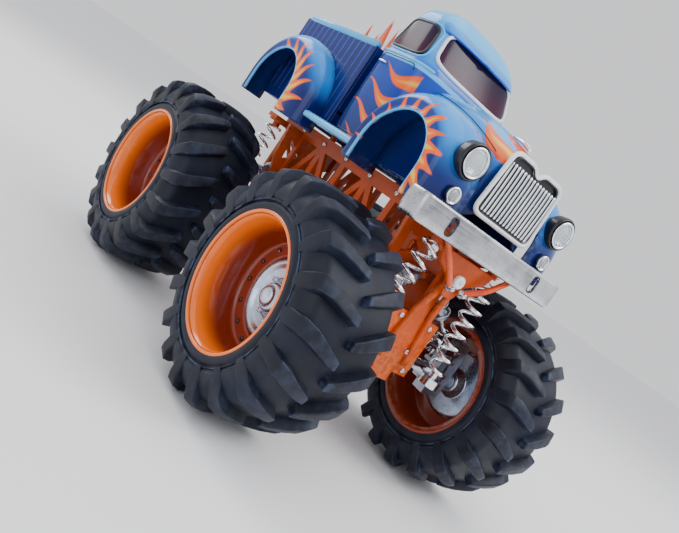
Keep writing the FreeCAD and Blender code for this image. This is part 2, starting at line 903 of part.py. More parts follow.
def make_chassis():
    """The welded frame: two trussed sides, deck, axle bulkheads, motor mount and body posts."""
    reach = frame_half
    pieces = [make_side_plate(-1), make_side_plate(1)]
    tools = []
    pieces.append(block((-reach, reach), (-98, 98), (deck_z, deck_z + deck_thick)))
    for y in (-post_y, post_y):
        pieces.append(block((-reach, reach), (y - 4, y + 4), (rail_top_z - 6, rail_top_z)))
        for side in (-1, 1):
            pieces.append(rod("Z", post_radius, (rail_top_z - 2, rail_top_z + 12), x=side * post_x, y=y))
    for end in (-1, 1):
        parts, slots = make_bulkhead(end)
        pieces += parts
        tools += slots
    mount_y = spur_y - 6
    motor_z = tyre_radius + gear_module * (spur_teeth + pinion_teeth) / 2
    pieces.append(block((-14, 14), (mount_y, mount_y + 3), (70, deck_z + 1)))
    tools.append(rod("Y", 3 + running_gap, (mount_y - 1, mount_y + 4), z=tyre_radius))
    tools.append(rod("Y", 4, (mount_y - 1, mount_y + 4), z=motor_z))
    tie_y = steer_arm - axle_y
    rack_low = tie_y - 2 - rack_thick
    for side in (-1, 1):
        pieces.append(block((side * 13, side * 17), (rack_low - 4, tie_y - 1), (84, deck_z + 1)))
        tools.append(block((side * 12, side * 18), (rack_low - 0.2, tie_y - 0.8),
                           (steer_z - rack_half_height - 0.2, steer_z + rack_half_height + 0.2)))
    cut(fused(pieces), tools, "chassis_frame")


def make_electrics():
    """Battery on the deck, speed controller behind it and the switch on its top."""
    top = deck_z + deck_thick
    battery = padded("XY_Plane", (((-19, -72), (19, -72), (19, 34), (-19, 34)),), 26, label="battery_pack")
    round_edges(battery, 4, lambda middle, edge: abs(middle.z - 13) < 12.9)
    place(battery, 0, 0, top)
    controller = [
        block((-16, 16), (40, 82), (top, top + 14)),
        *(block((x, x + 2), (44, 66), (top + 14, top + 19)) for x in range(-14, 14, 5)),
        block((-6, 6), (69, 79), (top + 14, top + 16)),
    ]
    slot = block((-2.2, 2.2), (70.8, 77.2), (top + 15, top + 17))
    cut(fused(controller), [slot], "speed_controller")
    fused([
        block((-2, 2), (71, 73), (top + 15.05, top + 16)),
        block((-1.5, 1.5), (71.2, 72.8), (top + 16, top + 19)),
    ], "power_switch")


# ---------------------------------------------------------------- body shell

def cab_outline(inset):
    """Side view of the cab, drawn in by the inset. Points are (y, z)."""
    front = -cab_front_y
    rear = cab_rear_y
    return (
        (front + inset, sill_z - inset),
        (front + inset, belt_z + 2),
        (front + 6 + inset, roof_z - 16),
        (front + 14 + inset, roof_z - 6 - inset),
        (-4, roof_z - inset),
        (rear - 9 - inset, roof_z - 6 - inset),
        (rear - inset, roof_z - 20),
        (rear - inset, sill_z - inset),
    )


def hood_outline(inset):
    front = -nose_y
    rear = 2 - cab_front_y
    return (
        (front + inset, sill_z - inset),
        (front + inset, hood_front_z),
        (front + 10 + inset, hood_front_z + 11 - inset),
        (-80, hood_rear_z - 5 - inset),
        (rear, hood_rear_z - inset),
        (rear, sill_z - inset),
    )


def crosswise(outline, half):
    """A side-view outline thickened to the same distance each side of the middle."""
    solid = padded("YZ_Plane", (outline,), 2 * half)
    place(solid, -half)
    return solid


def fender(side, end):
    """Arched fender: curved sheet, outer face and a foot at each end."""
    inner = hood_half if end < 0 else cab_half
    y = -front_arch_y if end < 0 else rear_arch_y
    inner_x = side * (inner - 1)
    outer_x = side * fender_half
    face_x = side * (fender_half - wall)
    sheet_low = arch_z - 1
    sheet_ring = cut(rod("X", fender_radius, (inner_x, outer_x), y=y, z=arch_z),
                     [rod("X", fender_radius - wall, (inner_x - side, face_x), y=y, z=arch_z),
                      rod("X", arch_radius, (face_x - side, outer_x + side), y=y, z=arch_z),
                      block((inner_x - side, outer_x + side), (y - 90, y + 90), (sheet_low - 90, sheet_low))])
    feet = []
    for foot in (-1, 1):
        near = y + foot * arch_radius
        far = y + foot * fender_radius
        feet.append(block((face_x, outer_x), (near, far), (fender_foot_z, arch_z)))
        feet.append(block((inner_x, outer_x), (far, far - foot * wall), (fender_foot_z, arch_z)))
    return [sheet_ring, *feet]


def make_body_shell():
    """Lift-off pickup body: hood, cab, open cargo bed, four fenders and two running boards."""
    bed_half = cab_half - wall
    solids = [
        crosswise(hood_outline(0), hood_half),
        crosswise(cab_outline(0), cab_half),
        block((-cab_half, cab_half), (cab_rear_y - 1, bed_end_y), (sill_z, belt_z)),
    ]
    for side in (-1, 1):
        solids.append(block((side * (cab_half - 1), side * board_half), (-44, 48), (sill_z, sill_z + 5)))
        for end in (-1, 1):
            solids += fender(side, end)
    hollows = [
        crosswise(hood_outline(wall), hood_half - wall),
        crosswise(cab_outline(wall), cab_half - wall),
        block((-bed_half, bed_half), (cab_rear_y + wall, bed_end_y - wall), (bed_floor_z, belt_z + 1)),
        block((-bed_half, bed_half), (cab_rear_y + wall, bed_end_y - wall), (sill_z - 1, bed_floor_z - wall)),
        block((-43, 43), (-cab_front_y - 2, -cab_front_y + 9), (belt_z + 4, roof_z - 20)),
        block((-cab_half - 1, cab_half + 1), (-24, 14), (belt_z + 2, roof_z - 18)),
        block((-32, 32), (cab_rear_y - 8, cab_rear_y + 1), (belt_z + 6, roof_z - 22)),
    ]
    shell = cut(fused(solids), hollows)
    # a raised mat at the tail of the bed, which a load rests on
    cargo_pad = block((-44, 44), (bed_end_y - 31, bed_end_y - 7),
                      (bed_floor_z - 1, bed_floor_z + cargo_pad_rise))
    shelves = [cargo_pad]
    holes = []
    for y, width in ((-post_y, hood_half), (post_y, cab_half)):
        half = width - 1
        shelves.append(block((-half, half), (y - 8, y + 8), (sill_z, sill_z + wall)))
        for side in (-1, 1):
            holes.append(rod("Z", post_radius + 0.4, (sill_z - 1, sill_z + wall + 1), x=side * post_x, y=y))
    cut(fused([shell, *shelves]), holes, "body_shell")


def make_glass():
    """Windscreen, two side windows and the rear window, each a flat pane in its opening."""
    panes = [
        block((-43, 43), (2.2 - cab_front_y, 4.2 - cab_front_y), (belt_z + 4, roof_z - 20)),
        block((-32, 32), (cab_rear_y - 2.5, cab_rear_y - 1), (belt_z + 6, roof_z - 22)),
    ]
    for side in (-1, 1):
        across = (side * (cab_half - 2.5), side * (cab_half - 1))
        panes.append(block(across, (-24, 14), (belt_z + 2, roof_z - 18)))
    grouped(panes, "window_glass")


def make_grille():
    """Tall chrome surround, narrower and notched at the top, with upright bars."""
    low = grille_low_z
    high = grille_high_z
    half = grille_half
    surround = padded("XZ_Plane", (
        (
            (-half, low),
            (half, low),
            (half - 3, high),
            (0, high - 5),
            (3 - half, high),
        ),
        (
            (4 - half, low + 4),
            (half - 4, low + 4),
            (half - 7, high - 5),
            (0, high - 10),
            (7 - half, high - 5),
        ),
    ), 4)
    place(surround, 0, -nose_y, 0)
    bars = [block((x - 0.8, x + 0.8), (-nose_y - 3, -nose_y), (low + 3, high - 6)) for x in range(-24, 25, 4)]
    fused([surround, *bars], "grille")


def make_lamps():
    """Two round headlamps in the fender fronts and two small lamps under them."""
    face = -front_arch_y - fender_radius
    lamps = []
    for side in (-1, 1):
        lamps.append(rod("Y", lamp_radius, (face - 4, face), x=side * lamp_x, z=lamp_z))
        lamps.append(rod("Y", fog_lamp_radius, (face - 3, face), x=side * lamp_x, z=lamp_z - 24))
    grouped(lamps, "lamps")


def make_bumper():
    """Broad bar with turned-back ends, two upright slots, brackets and a V of tow rods."""
    low = bumper_low_z
    high = bumper_high_z
    face = -bumper_face_y
    pieces = [block((-bumper_half, bumper_half), (face, face + 3), (low, high))]
    for side in (-1, 1):
        pieces.append(block((side * (bumper_half - 3), side * bumper_half), (face, face + 18), (low, high)))
        pieces.append(block((side * 20, side * 27), (face + 2, -axle_y - 26), (rail_low_z, rail_low_z + 9)))
    tools = []
    for side in (-1, 1):
        tools.append(block((side * 47, side * 53), (face - 1, face + 4), (low + 6, high - 5)))
        for z in (low + 6, high - 5):
            tools.append(rod("Y", 3, (face - 1, face + 4), x=side * 50, z=z))
    cut(fused(pieces), tools, "bumper")


def flame_outline(tips, start, stop):
    """A straight foot on the bed floor under a ragged row of tips: (along, rise) pairs."""
    floor = bed_floor_z
    outline = [(start, floor), (stop, floor)]
    for along, rise in reversed(tips):
        outline.append((along, floor + rise))
    return outline


def make_flames():
    """Flame ornament in the bed: a foot plate with two ragged sheets along it and one across."""
    low = cab_rear_y + 8
    far = cab_rear_y + 84
    foot = block((-26, 26), (low, far), (bed_floor_z, bed_floor_z + 3))
    lengthwise = (
        (0, 74), (5, 66), (11, 84), (17, 70), (24, 82), (32, 64), (40, 94),
        (47, 60), (54, 76), (60, 50), (67, 62), (76, 40),
    )
    sheets = []
    for x in (-24, 20):
        tips = [(low + along, rise) for along, rise in lengthwise]
        sheet = padded("YZ_Plane", (flame_outline(tips, low, far),), 4)
        sheets.append(place(sheet, x))
    crosswise_tips = ((-26, 58), (-18, 80), (-12, 66), (-2, 92), (5, 68), (13, 84), (18, 64), (26, 72))
    sheet = padded("XZ_Plane", (flame_outline(crosswise_tips, -26, 26),), 4)
    sheets.append(place(sheet, 0, low + 12, 0))
    fused([foot, *sheets], "flame_ornament")


# ---------------------------------------------------------------- build, check, write

def check_document():
    for thing in document.Objects:
        if "Invalid" in thing.State or "Error" in thing.State:
            raise RuntimeError(f"{thing.Name} ({thing.Label}) failed: {thing.State}")
    for label, thing in nodes.items():
        if thing.Shape.isNull() or not thing.Shape.isValid():
            raise RuntimeError(f"{label} has no valid shape")


def write_nodes():
    os.makedirs("parts", exist_ok=True)
    for label, thing in nodes.items():
        thing.Shape.exportStep(f"parts/{label}.step")
    print(f"{len(nodes)} nodes written")


fill_sheet()
for alias in SIZES:
    globals()[alias] = sized(alias)

for corner_name, corner_side, corner_end in CORNERS:
    make_corner(corner_name, corner_side, corner_end)
make_steering()
make_drive()
make_chassis()
make_electrics()
make_body_shell()
make_glass()
make_grille()
make_lamps()
make_bumper()
make_flames()

document.recompute()
check_document()
write_nodes()
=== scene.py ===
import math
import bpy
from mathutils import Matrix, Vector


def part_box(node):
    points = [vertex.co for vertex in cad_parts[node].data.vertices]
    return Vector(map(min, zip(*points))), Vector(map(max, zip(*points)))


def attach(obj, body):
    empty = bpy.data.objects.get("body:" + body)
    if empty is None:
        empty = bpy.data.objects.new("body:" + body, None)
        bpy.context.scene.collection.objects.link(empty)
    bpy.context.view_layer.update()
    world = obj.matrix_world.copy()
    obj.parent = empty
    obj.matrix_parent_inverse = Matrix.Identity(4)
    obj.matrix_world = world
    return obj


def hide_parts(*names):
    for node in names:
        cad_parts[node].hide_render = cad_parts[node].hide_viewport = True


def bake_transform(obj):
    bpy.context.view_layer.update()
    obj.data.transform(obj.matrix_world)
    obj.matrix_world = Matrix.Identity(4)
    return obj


bl_info = {
    "name": "Monster Truck Maker",
    "version": (1, 0, 0),
    "blender": (4, 5, 0),
    "location": "3D View > Sidebar > Truck",
    "description": "Builds a radio-controlled monster truck's visible pieces round its frame",
    "category": "Add Mesh",
}

import bmesh
import bpy
from bpy.props import FloatProperty, FloatVectorProperty, IntProperty, PointerProperty
from mathutils import Matrix, Vector

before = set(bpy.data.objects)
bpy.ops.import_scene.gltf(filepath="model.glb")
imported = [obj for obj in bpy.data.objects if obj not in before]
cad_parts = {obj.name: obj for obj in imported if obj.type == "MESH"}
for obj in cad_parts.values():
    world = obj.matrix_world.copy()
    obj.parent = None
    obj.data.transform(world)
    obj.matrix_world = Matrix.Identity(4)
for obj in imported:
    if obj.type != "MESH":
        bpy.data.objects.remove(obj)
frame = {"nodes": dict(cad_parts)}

MM = 0.001
TAU = 2 * math.pi

CORNERS = (
    # name, side (+1 is the truck's left, +X), end (-1 is the front, -Y)
    ("front_left", 1, -1),
    ("front_right", -1, -1),
    ("rear_left", 1, 1),
    ("rear_right", -1, 1),
)
SIDES = (("left", 1), ("right", -1))


def mm(*values):
    """Millimetres as a tuple of metres."""
    return tuple(value * MM for value in values)


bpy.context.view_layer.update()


# ---------------------------------------------------------------- sizes read from the frame

def middle(node):
    low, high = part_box(node)
    return (low + high) / 2


shell_low, shell_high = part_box("body_shell")
tyre_low, tyre_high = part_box("tyre_front_left")
rim_low, rim_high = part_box("rim_front_left")
bumper_low, bumper_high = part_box("bumper")
grille_low, grille_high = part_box("grille")
lamps_low, lamps_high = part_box("lamps")
flames_low, flames_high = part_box("flame_ornament")

HUB_Z = middle("rim_front_left").z
AXLE_Y = middle("rim_rear_left").y
WHEEL_X = middle("tyre_front_left").x
TYRE_RADIUS = (tyre_high.z - tyre_low.z) / 2
TYRE_HALF = (tyre_high.x - tyre_low.x) / 2
RIM_RADIUS = (rim_high.z - rim_low.z) / 2

ROOF_Z = shell_high.z
FENDER_X = shell_high.x
NOSE_Y = shell_low.y
TAIL_Y = shell_high.y
FOOT_Z = shell_low.z
SILL_Z = FOOT_Z + 9 * MM
BELT_Z = ROOF_Z - 51 * MM
CAB_X = FENDER_X - 22 * MM
CAB_FRONT_Y = NOSE_Y + 97 * MM
CAB_REAR_Y = CAB_FRONT_Y + 67 * MM
BED_FLOOR_Z = flames_low.z
ARCH_Z = FOOT_Z + 19 * MM


# ---------------------------------------------------------------- settings a user may change

class TruckWheelSettings(bpy.types.PropertyGroup):
    lug_count: IntProperty(name="Lugs per row", description="Tread lugs round one side of a tyre",
                           default=18, min=8, max=30)
    lug_height: FloatProperty(name="Lug height", description="How far a lug stands above the carcass",
                              default=7 * MM, min=0.0, subtype="DISTANCE", unit="LENGTH")
    bolt_count: IntProperty(name="Rim bolts", description="Bolts round the rim's inner flange",
                            default=14, min=4)


class TruckPaintSettings(bpy.types.PropertyGroup):
    # azure also serves as painted light on faces that point up; royal and navy colour the sides
    azure: FloatVectorProperty(name="Azure", description="Paint of the upper surfaces", subtype="COLOR",
                               size=3, default=(0.012, 0.27, 0.80), min=0.0, max=1.0)
    royal: FloatVectorProperty(name="Royal blue", description="Paint of the lower sides", subtype="COLOR",
                               size=3, default=(0.003, 0.055, 0.42), min=0.0, max=1.0)
    navy: FloatVectorProperty(name="Navy", description="Darkest blue, low on the bed and doors",
                              subtype="COLOR", size=3, default=(0.002, 0.009, 0.12), min=0.0, max=1.0)
    flame: FloatVectorProperty(name="Flame orange", description="Body of the painted flames",
                               subtype="COLOR", size=3, default=(0.92, 0.12, 0.002), min=0.0, max=1.0)
    frame: FloatVectorProperty(name="Frame orange", description="Powder coat of the chassis frame",
                               subtype="COLOR", size=3, default=(0.62, 0.075, 0.003), min=0.0, max=1.0)


class TruckTrimSettings(bpy.types.PropertyGroup):
    grille_bars: IntProperty(name="Grille bars", description="Upright bars in the grille", default=15, min=5)
    spring_turns: FloatProperty(name="Spring turns", description="Turns of each coil spring",
                                default=8.0, min=3.0)
    spring_wire: FloatProperty(name="Spring wire", description="Radius of the coil springs' wire",
                               default=1.5 * MM, subtype="DISTANCE", unit="LENGTH")


def wheel_settings():
    return bpy.context.scene.truck_wheels


def paint_settings():
    return bpy.context.scene.truck_paint


def trim_settings():
    return bpy.context.scene.truck_trim


# ---------------------------------------------------------------- mesh helpers

def piece_from(name, vertices, faces, smooth=True):
    """A new object from plain vertices and faces, doubles merged, faces pointing outwards."""
    mesh = bpy.data.meshes.new(name)
    mesh.from_pydata([tuple(v) for v in vertices], [], faces)
    piece = bpy.data.objects.new(name, mesh)
    bpy.context.scene.collection.objects.link(piece)
    tidy_mesh(piece, smooth)
    return piece


def tidy_mesh(piece, smooth=True):
    """Merge doubles, drop slivers and point every face outwards."""
    work = bmesh.new()
    work.from_mesh(piece.data)
    bmesh.ops.remove_doubles(work, verts=work.verts, dist=0.01 * MM)
    bmesh.ops.dissolve_degenerate(work, edges=work.edges, dist=0.005 * MM)
    bmesh.ops.recalc_face_normals(work, faces=work.faces)
    for face in work.faces:
        face.smooth = smooth
    work.to_mesh(piece.data)
    work.free()


def grid_faces(rows, columns, close_rows=False, close_columns=False):
    """Four-sided faces between neighbours in a grid of points."""
    faces = []
    for row in range(rows if close_rows else rows - 1):
        for column in range(columns if close_columns else columns - 1):
            right = (column + 1) % columns
            below = (row + 1) % rows
            faces.append((row * columns + column, row * columns + right,
                          below * columns + right, below * columns + column))
    return faces


def sheet_piece(name, rows, close_rows=False, close_columns=False):
    """A surface through rows of points; each row has the same number of points."""
    columns = len(rows[0])
    points = [point for row in rows for point in row]
    return piece_from(name, points, grid_faces(len(rows), columns, close_rows, close_columns))


def use_modifiers(piece):
    """Bake every modifier of a piece into a plain mesh."""
    graph = bpy.context.evaluated_depsgraph_get()
    mesh = bpy.data.meshes.new_from_object(piece.evaluated_get(graph))
    old = piece.data
    piece.modifiers.clear()
    piece.data = mesh
    mesh.name = piece.name
    bpy.data.meshes.remove(old)
    return piece


def bevelled(piece, width, segments=2, angle=35):
    """Round every edge sharper than an angle in degrees."""
    modifier = piece.modifiers.new("edge_rounding", "BEVEL")
    modifier.width = width
    modifier.segments = segments
    modifier.limit_method = "ANGLE"
    modifier.angle_limit = math.radians(angle)
    modifier.harden_normals = False
    use_modifiers(piece)
    for polygon in piece.data.polygons:
        polygon.use_smooth = True
    return weighted(piece)


def weighted(piece):
    """Keep flat faces flat beside their rounded edges."""
    modifier = piece.modifiers.new("face_weight", "WEIGHTED_NORMAL")
    modifier.keep_sharp = True
    return use_modifiers(piece)


def thickened(piece, thickness, offset=-1.0):
    """Give a surface a wall; an offset of -1 builds it inwards."""
    modifier = piece.modifiers.new("wall", "SOLIDIFY")
    modifier.thickness = thickness
    modifier.offset = offset
    modifier.use_even_offset = True
    return use_modifiers(piece)


def box_piece(name, x, y, z, rounding=0.6 * MM, segments=2):
    """A block between limits on each axis, with rounded edges."""
    corners = [(a, b, c) for a in sorted(x) for b in sorted(y) for c in sorted(z)]
    faces = [(0, 1, 3, 2), (4, 6, 7, 5), (0, 4, 5, 1), (2, 3, 7, 6), (0, 2, 6, 4), (1, 5, 7, 3)]
    piece = piece_from(name, corners, faces, smooth=False)
    return bevelled(piece, rounding, segments) if rounding else piece


def prism_piece(name, outline, low, high, axis, rounding=0.5 * MM):
    """An outline pulled along an axis. Outline points are the two other coordinates, in X, Y, Z order."""
    def point(a, b, c):
        return {"X": (c, a, b), "Y": (a, c, b), "Z": (a, b, c)}[axis]

    count = len(outline)
    vertices = [point(a, b, low) for a, b in outline] + [point(a, b, high) for a, b in outline]
    faces = [tuple(range(count)), tuple(range(2 * count - 1, count - 1, -1))]
    faces += [(i, (i + 1) % count, count + (i + 1) % count, count + i) for i in range(count)]
    piece = piece_from(name, vertices, faces, smooth=False)
    return bevelled(piece, rounding) if rounding else piece


def turned_piece(name, outline, steps=64, close=False):
    """A lathe shape about X through the origin. Outline points are (x, radius)."""
    rows = []
    for x, radius in outline:
        rows.append([(x, radius * math.cos(TAU * i / steps), radius * math.sin(TAU * i / steps))
                     for i in range(steps)])
    return sheet_piece(name, rows, close_rows=close, close_columns=True)


def rounded_outline(points, radius, steps=4):
    """Replace each corner of a polyline by a short arc. Closed ends are left as they are."""
    result = [points[0]]
    for before, corner, after in zip(points, points[1:], points[2:]):
        p, c, n = Vector(before), Vector(corner), Vector(after)
        reach = min(radius, (p - c).length * 0.45, (n - c).length * 0.45)
        start = c + (p - c).normalized() * reach
        stop = c + (n - c).normalized() * reach
        for i in range(steps + 1):
            t = i / steps
            result.append(tuple(start * (1 - t) ** 2 + c * 2 * t * (1 - t) + stop * t * t))
    result.append(points[-1])
    return result


def tube_piece(name, path, radius, sides=10, closed=False):
    """A round bar along a path, with turned-over ends when the path is open."""
    path = [Vector(p) for p in path]
    radii = radius if isinstance(radius, (list, tuple)) else [radius] * len(path)
    count = len(path)
    rings = []
    side = None
    for i, point in enumerate(path):
        before = path[(i - 1) % count] if closed or i > 0 else point
        after = path[(i + 1) % count] if closed or i < count - 1 else point
        along = (after - before).normalized()
        if side is None:
            side = along.orthogonal().normalized()
        side = (side - along * side.dot(along)).normalized()
        other = along.cross(side)
        turns = [TAU * k / sides for k in range(sides)]
        rings.append([point + (side * math.cos(turn) + other * math.sin(turn)) * radii[i] for turn in turns])
    vertices = [v for ring in rings for v in ring]
    faces = grid_faces(count, sides, close_rows=closed, close_columns=True)
    if not closed:
        faces.append(tuple(range(sides)))
        faces.append(tuple(range((count - 1) * sides, count * sides)))
    return piece_from(name, vertices, faces)


def joined(name, pieces):
    """Several meshes as one object."""
    work = bmesh.new()
    for piece in pieces:
        work.from_mesh(piece.data)
    mesh = bpy.data.meshes.new(name)
    work.to_mesh(mesh)
    work.free()
    materials = pieces[0].data.materials
    for material in materials:
        mesh.materials.append(material)
    for piece in pieces:
        drop(piece)
    result = bpy.data.objects.new(name, mesh)
    bpy.context.scene.collection.objects.link(result)
    return result


def drop(piece):
    """Remove a helper piece with its mesh."""
    mesh = piece.data
    bpy.data.objects.remove(piece)
    bpy.data.meshes.remove(mesh)


def moved(piece, matrix):
    """Put a piece somewhere by moving its mesh; a mirrored matrix keeps faces outwards."""
    piece.data.transform(matrix)
    if matrix.determinant() < 0:
        piece.data.flip_normals()
    return piece


def to_corner(side, end):
    """From a wheel-side frame (outwards is +X, away from the middle is +Y) to a truck corner."""
    return Matrix.Translation((side * WHEEL_X, end * AXLE_Y, HUB_Z)) @ Matrix.Diagonal((side, end, 1, 1))


def on_wheel(piece, name, side, end, finish, replaced=()):
    """Settle a piece made in the wheel-side frame on its wheel."""
    settle(moved(piece, to_corner(side, end)), f"wheel_{name}", finish, replaced)


def settle(piece, body, finish=None, replaced=()):
    """Give a finished piece its material, its body and the nodes it stands for."""
    if finish:
        piece.data.materials.clear()
        piece.data.materials.append(material(finish))
    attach(piece, body)
    if replaced:
        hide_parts(*replaced)
    return piece


# ---------------------------------------------------------------- geometry node trees

def new_tree(name, inputs):
    """A geometry node group with a mesh output and the given named inputs."""
    tree = bpy.data.node_groups.new(name, "GeometryNodeTree")
    tree.interface.new_socket("Geometry", in_out="OUTPUT", socket_type="NodeSocketGeometry")
    for label, kind in inputs:
        tree.interface.new_socket(label, in_out="INPUT", socket_type=kind)
    start = tree.nodes.new("NodeGroupInput")
    stop = tree.nodes.new("NodeGroupOutput")
    return tree, start, stop


def node_of(tree, kind, **inputs):
    """The first output of a new node whose named inputs are fed by sockets or set to values."""
    node = tree.nodes.new(kind)
    for label, value in inputs.items():
        if isinstance(value, bpy.types.NodeSocket):
            tree.links.new(value, node.inputs[label.replace("_", " ")])
        else:
            node.inputs[label.replace("_", " ")].default_value = value
    return node.outputs[0]


def copies_on(tree, start, stop, points, **inputs):
    """Put the tree's Item on every point, give the copies its Material and end the tree."""
    item = tree.nodes.new("GeometryNodeObjectInfo")
    tree.links.new(start.outputs["Item"], item.inputs["Object"])
    copies = node_of(tree, "GeometryNodeInstanceOnPoints", Points=points,
                     Instance=item.outputs["Geometry"], **inputs)
    whole = node_of(tree, "GeometryNodeRealizeInstances", Geometry=copies)
    painted = node_of(tree, "GeometryNodeSetMaterial", Geometry=whole, Material=start.outputs["Material"])
    tree.links.new(painted, stop.inputs["Geometry"])
    return tree


def ring_tree():
    """Copies of an item round the X axis, each turned to face outwards."""
    tree, start, stop = new_tree("ring_of_items", (
        ("Item", "NodeSocketObject"), ("Material", "NodeSocketMaterial"),
        ("Count", "NodeSocketInt"), ("Radius", "NodeSocketFloat"), ("Start angle", "NodeSocketFloat")))
    count, radius = start.outputs["Count"], start.outputs["Radius"]
    line = node_of(tree, "GeometryNodeMeshLine", Count=count, Offset=(0, 0, 0))
    share = calculated(tree, "DIVIDE", node_of(tree, "GeometryNodeInputIndex"), count)
    angle = calculated(tree, "MULTIPLY_ADD", share, TAU, start.outputs["Start angle"])
    y = calculated(tree, "MULTIPLY", calculated(tree, "COSINE", angle), radius)
    z = calculated(tree, "MULTIPLY", calculated(tree, "SINE", angle), radius)
    spots = node_of(tree, "ShaderNodeCombineXYZ", Y=y, Z=z)
    points = node_of(tree, "GeometryNodeSetPosition", Geometry=line, Position=spots)
    return copies_on(tree, start, stop, points, Rotation=node_of(tree, "ShaderNodeCombineXYZ", X=angle))


def row_tree():
    """Copies of an item in a straight row."""
    tree, start, stop = new_tree("row_of_items", (
        ("Item", "NodeSocketObject"), ("Material", "NodeSocketMaterial"),
        ("Count", "NodeSocketInt"), ("First", "NodeSocketVector"), ("Step", "NodeSocketVector")))
    line = node_of(tree, "GeometryNodeMeshLine", Count=start.outputs["Count"],
                   Start_Location=start.outputs["First"], Offset=start.outputs["Step"])
    return copies_on(tree, start, stop, line)


def scatter_tree():
    """Copies of an item on every point of a carrier mesh, each turned about an axis by an angle."""
    tree, start, stop = new_tree("items_on_points", (
        ("Geometry", "NodeSocketGeometry"), ("Item", "NodeSocketObject"),
        ("Material", "NodeSocketMaterial"), ("Turn", "NodeSocketVector")))
    return copies_on(tree, start, stop, start.outputs["Geometry"], Rotation=start.outputs["Turn"])


TREES = {"ring": ring_tree, "row": row_tree, "scatter": scatter_tree}
built_trees = {}


def grown(name, kind, item, finish, points=((0, 0, 0),), **inputs):
    """Run one of the trees and keep its result as a plain mesh. The item itself is removed."""
    if kind not in built_trees:
        built_trees[kind] = TREES[kind]()
    tree = built_trees[kind]
    mesh = bpy.data.meshes.new(name)
    mesh.from_pydata([tuple(p) for p in points], [], [])
    piece = bpy.data.objects.new(name, mesh)
    bpy.context.scene.collection.objects.link(piece)
    modifier = piece.modifiers.new(kind, "NODES")
    modifier.node_group = tree
    sockets = {s.name: s.identifier for s in tree.interface.items_tree if s.in_out == "INPUT"}
    modifier[sockets["Item"]] = item
    modifier[sockets["Material"]] = material(finish)
    for label, value in inputs.items():
        modifier[sockets[label.replace("_", " ")]] = value
    bpy.context.view_layer.update()
    use_modifiers(piece)
    drop(item)
    return piece


# ---------------------------------------------------------------- shader effects shared by materials

def calculated(tree, operation, *values, clamp=False):
    """A maths node; each value is a socket or a number."""
    node = tree.nodes.new("ShaderNodeMath")
    node.operation = operation
    node.use_clamp = clamp
    for socket, value in zip(node.inputs, values):
        if isinstance(value, bpy.types.NodeSocket):
            tree.links.new(value, socket)
        else:
            socket.default_value = value
    return node.outputs[0]


def ramped(tree, value, low, high):
    """0 below the low value, 1 above the high one."""
    node = tree.nodes.new("ShaderNodeMapRange")
    node.interpolation_type = "SMOOTHSTEP"
    tree.links.new(value, node.inputs["Value"])
    node.inputs["From Min"].default_value = low
    node.inputs["From Max"].default_value = high
    return node.outputs["Result"]


def noise_value(tree, scale, detail=3.0, vector=None, roughness=0.5):
    node = tree.nodes.new("ShaderNodeTexNoise")
    node.inputs["Detail"].default_value = detail
    node.inputs["Roughness"].default_value = roughness
    if isinstance(scale, bpy.types.NodeSocket):
        tree.links.new(scale, node.inputs["Scale"])
    else:
        node.inputs["Scale"].default_value = scale
    tree.links.new(vector or place_of(tree), node.inputs["Vector"])
    return node.outputs["Fac"]


def place_of(tree):
    """Object coordinates: metres from the truck's origin."""
    for node in tree.nodes:
        if node.bl_idname == "ShaderNodeTexCoord":
            return node.outputs["Object"]
    return tree.nodes.new("ShaderNodeTexCoord").outputs["Object"]


def parts_of(tree, vector):
    node = tree.nodes.new("ShaderNodeSeparateXYZ")
    tree.links.new(vector, node.inputs[0])
    return node.outputs


class Wiring:
    """Short ways to add nodes to the tree of a material or an effect."""

    def maths(self, operation, *values, clamp=False):
        return calculated(self.tree, operation, *values, clamp=clamp)

    def ramp(self, value, low, high):
        return ramped(self.tree, value, low, high)

    def coordinates(self):
        return parts_of(self.tree, place_of(self.tree))

    def normal(self):
        return parts_of(self.tree, self.tree.nodes.new("ShaderNodeNewGeometry").outputs["Normal"])


class Effect(Wiring):
    """A shader node group with named inputs, each with its usual value, and number outputs."""

    def __init__(self, name, outputs, **inputs):
        self.tree = bpy.data.node_groups.new(name, "ShaderNodeTree")
        for label, value in inputs.items():
            kind = "NodeSocketVector" if isinstance(value, tuple) else "NodeSocketFloat"
            label = label.replace("_", " ")
            socket = self.tree.interface.new_socket(label, in_out="INPUT", socket_type=kind)
            socket.default_value = value
        for label in outputs:
            self.tree.interface.new_socket(label, in_out="OUTPUT", socket_type="NodeSocketFloat")
        self.given = self.tree.nodes.new("NodeGroupInput").outputs
        self.results = self.tree.nodes.new("NodeGroupOutput").inputs

    def noise(self, scale, detail, **others):
        return noise_value(self.tree, scale, detail, **others)

    def give(self, label, socket):
        self.tree.links.new(socket, self.results[label])
        return self.tree


def edge_wear_and_highlight_effect():
    """Paler convex edges, broken up by noise: rubbed wear on most finishes, a painted highlight on the tyre
    lugs and rim edges.
    """
    e = Effect("edge_wear", ("Mask",), Amount=0.5, Scale=260.0)
    edges = e.ramp(e.tree.nodes.new("ShaderNodeNewGeometry").outputs["Pointiness"], 0.53, 0.60)
    patches = e.ramp(e.noise(e.given["Scale"], 4), 0.40, 0.62)
    return e.give("Mask", e.maths("MULTIPLY", e.maths("MULTIPLY", edges, patches), e.given["Amount"]))


def grain_effect():
    """Fine moulded or cast texture with broader blotches."""
    e = Effect("surface_grain", ("Fine", "Broad"), Scale=900.0)
    e.give("Fine", e.noise(e.given["Scale"], 2))
    return e.give("Broad", e.noise(e.maths("MULTIPLY", e.given["Scale"], 0.05), 5, roughness=0.6))


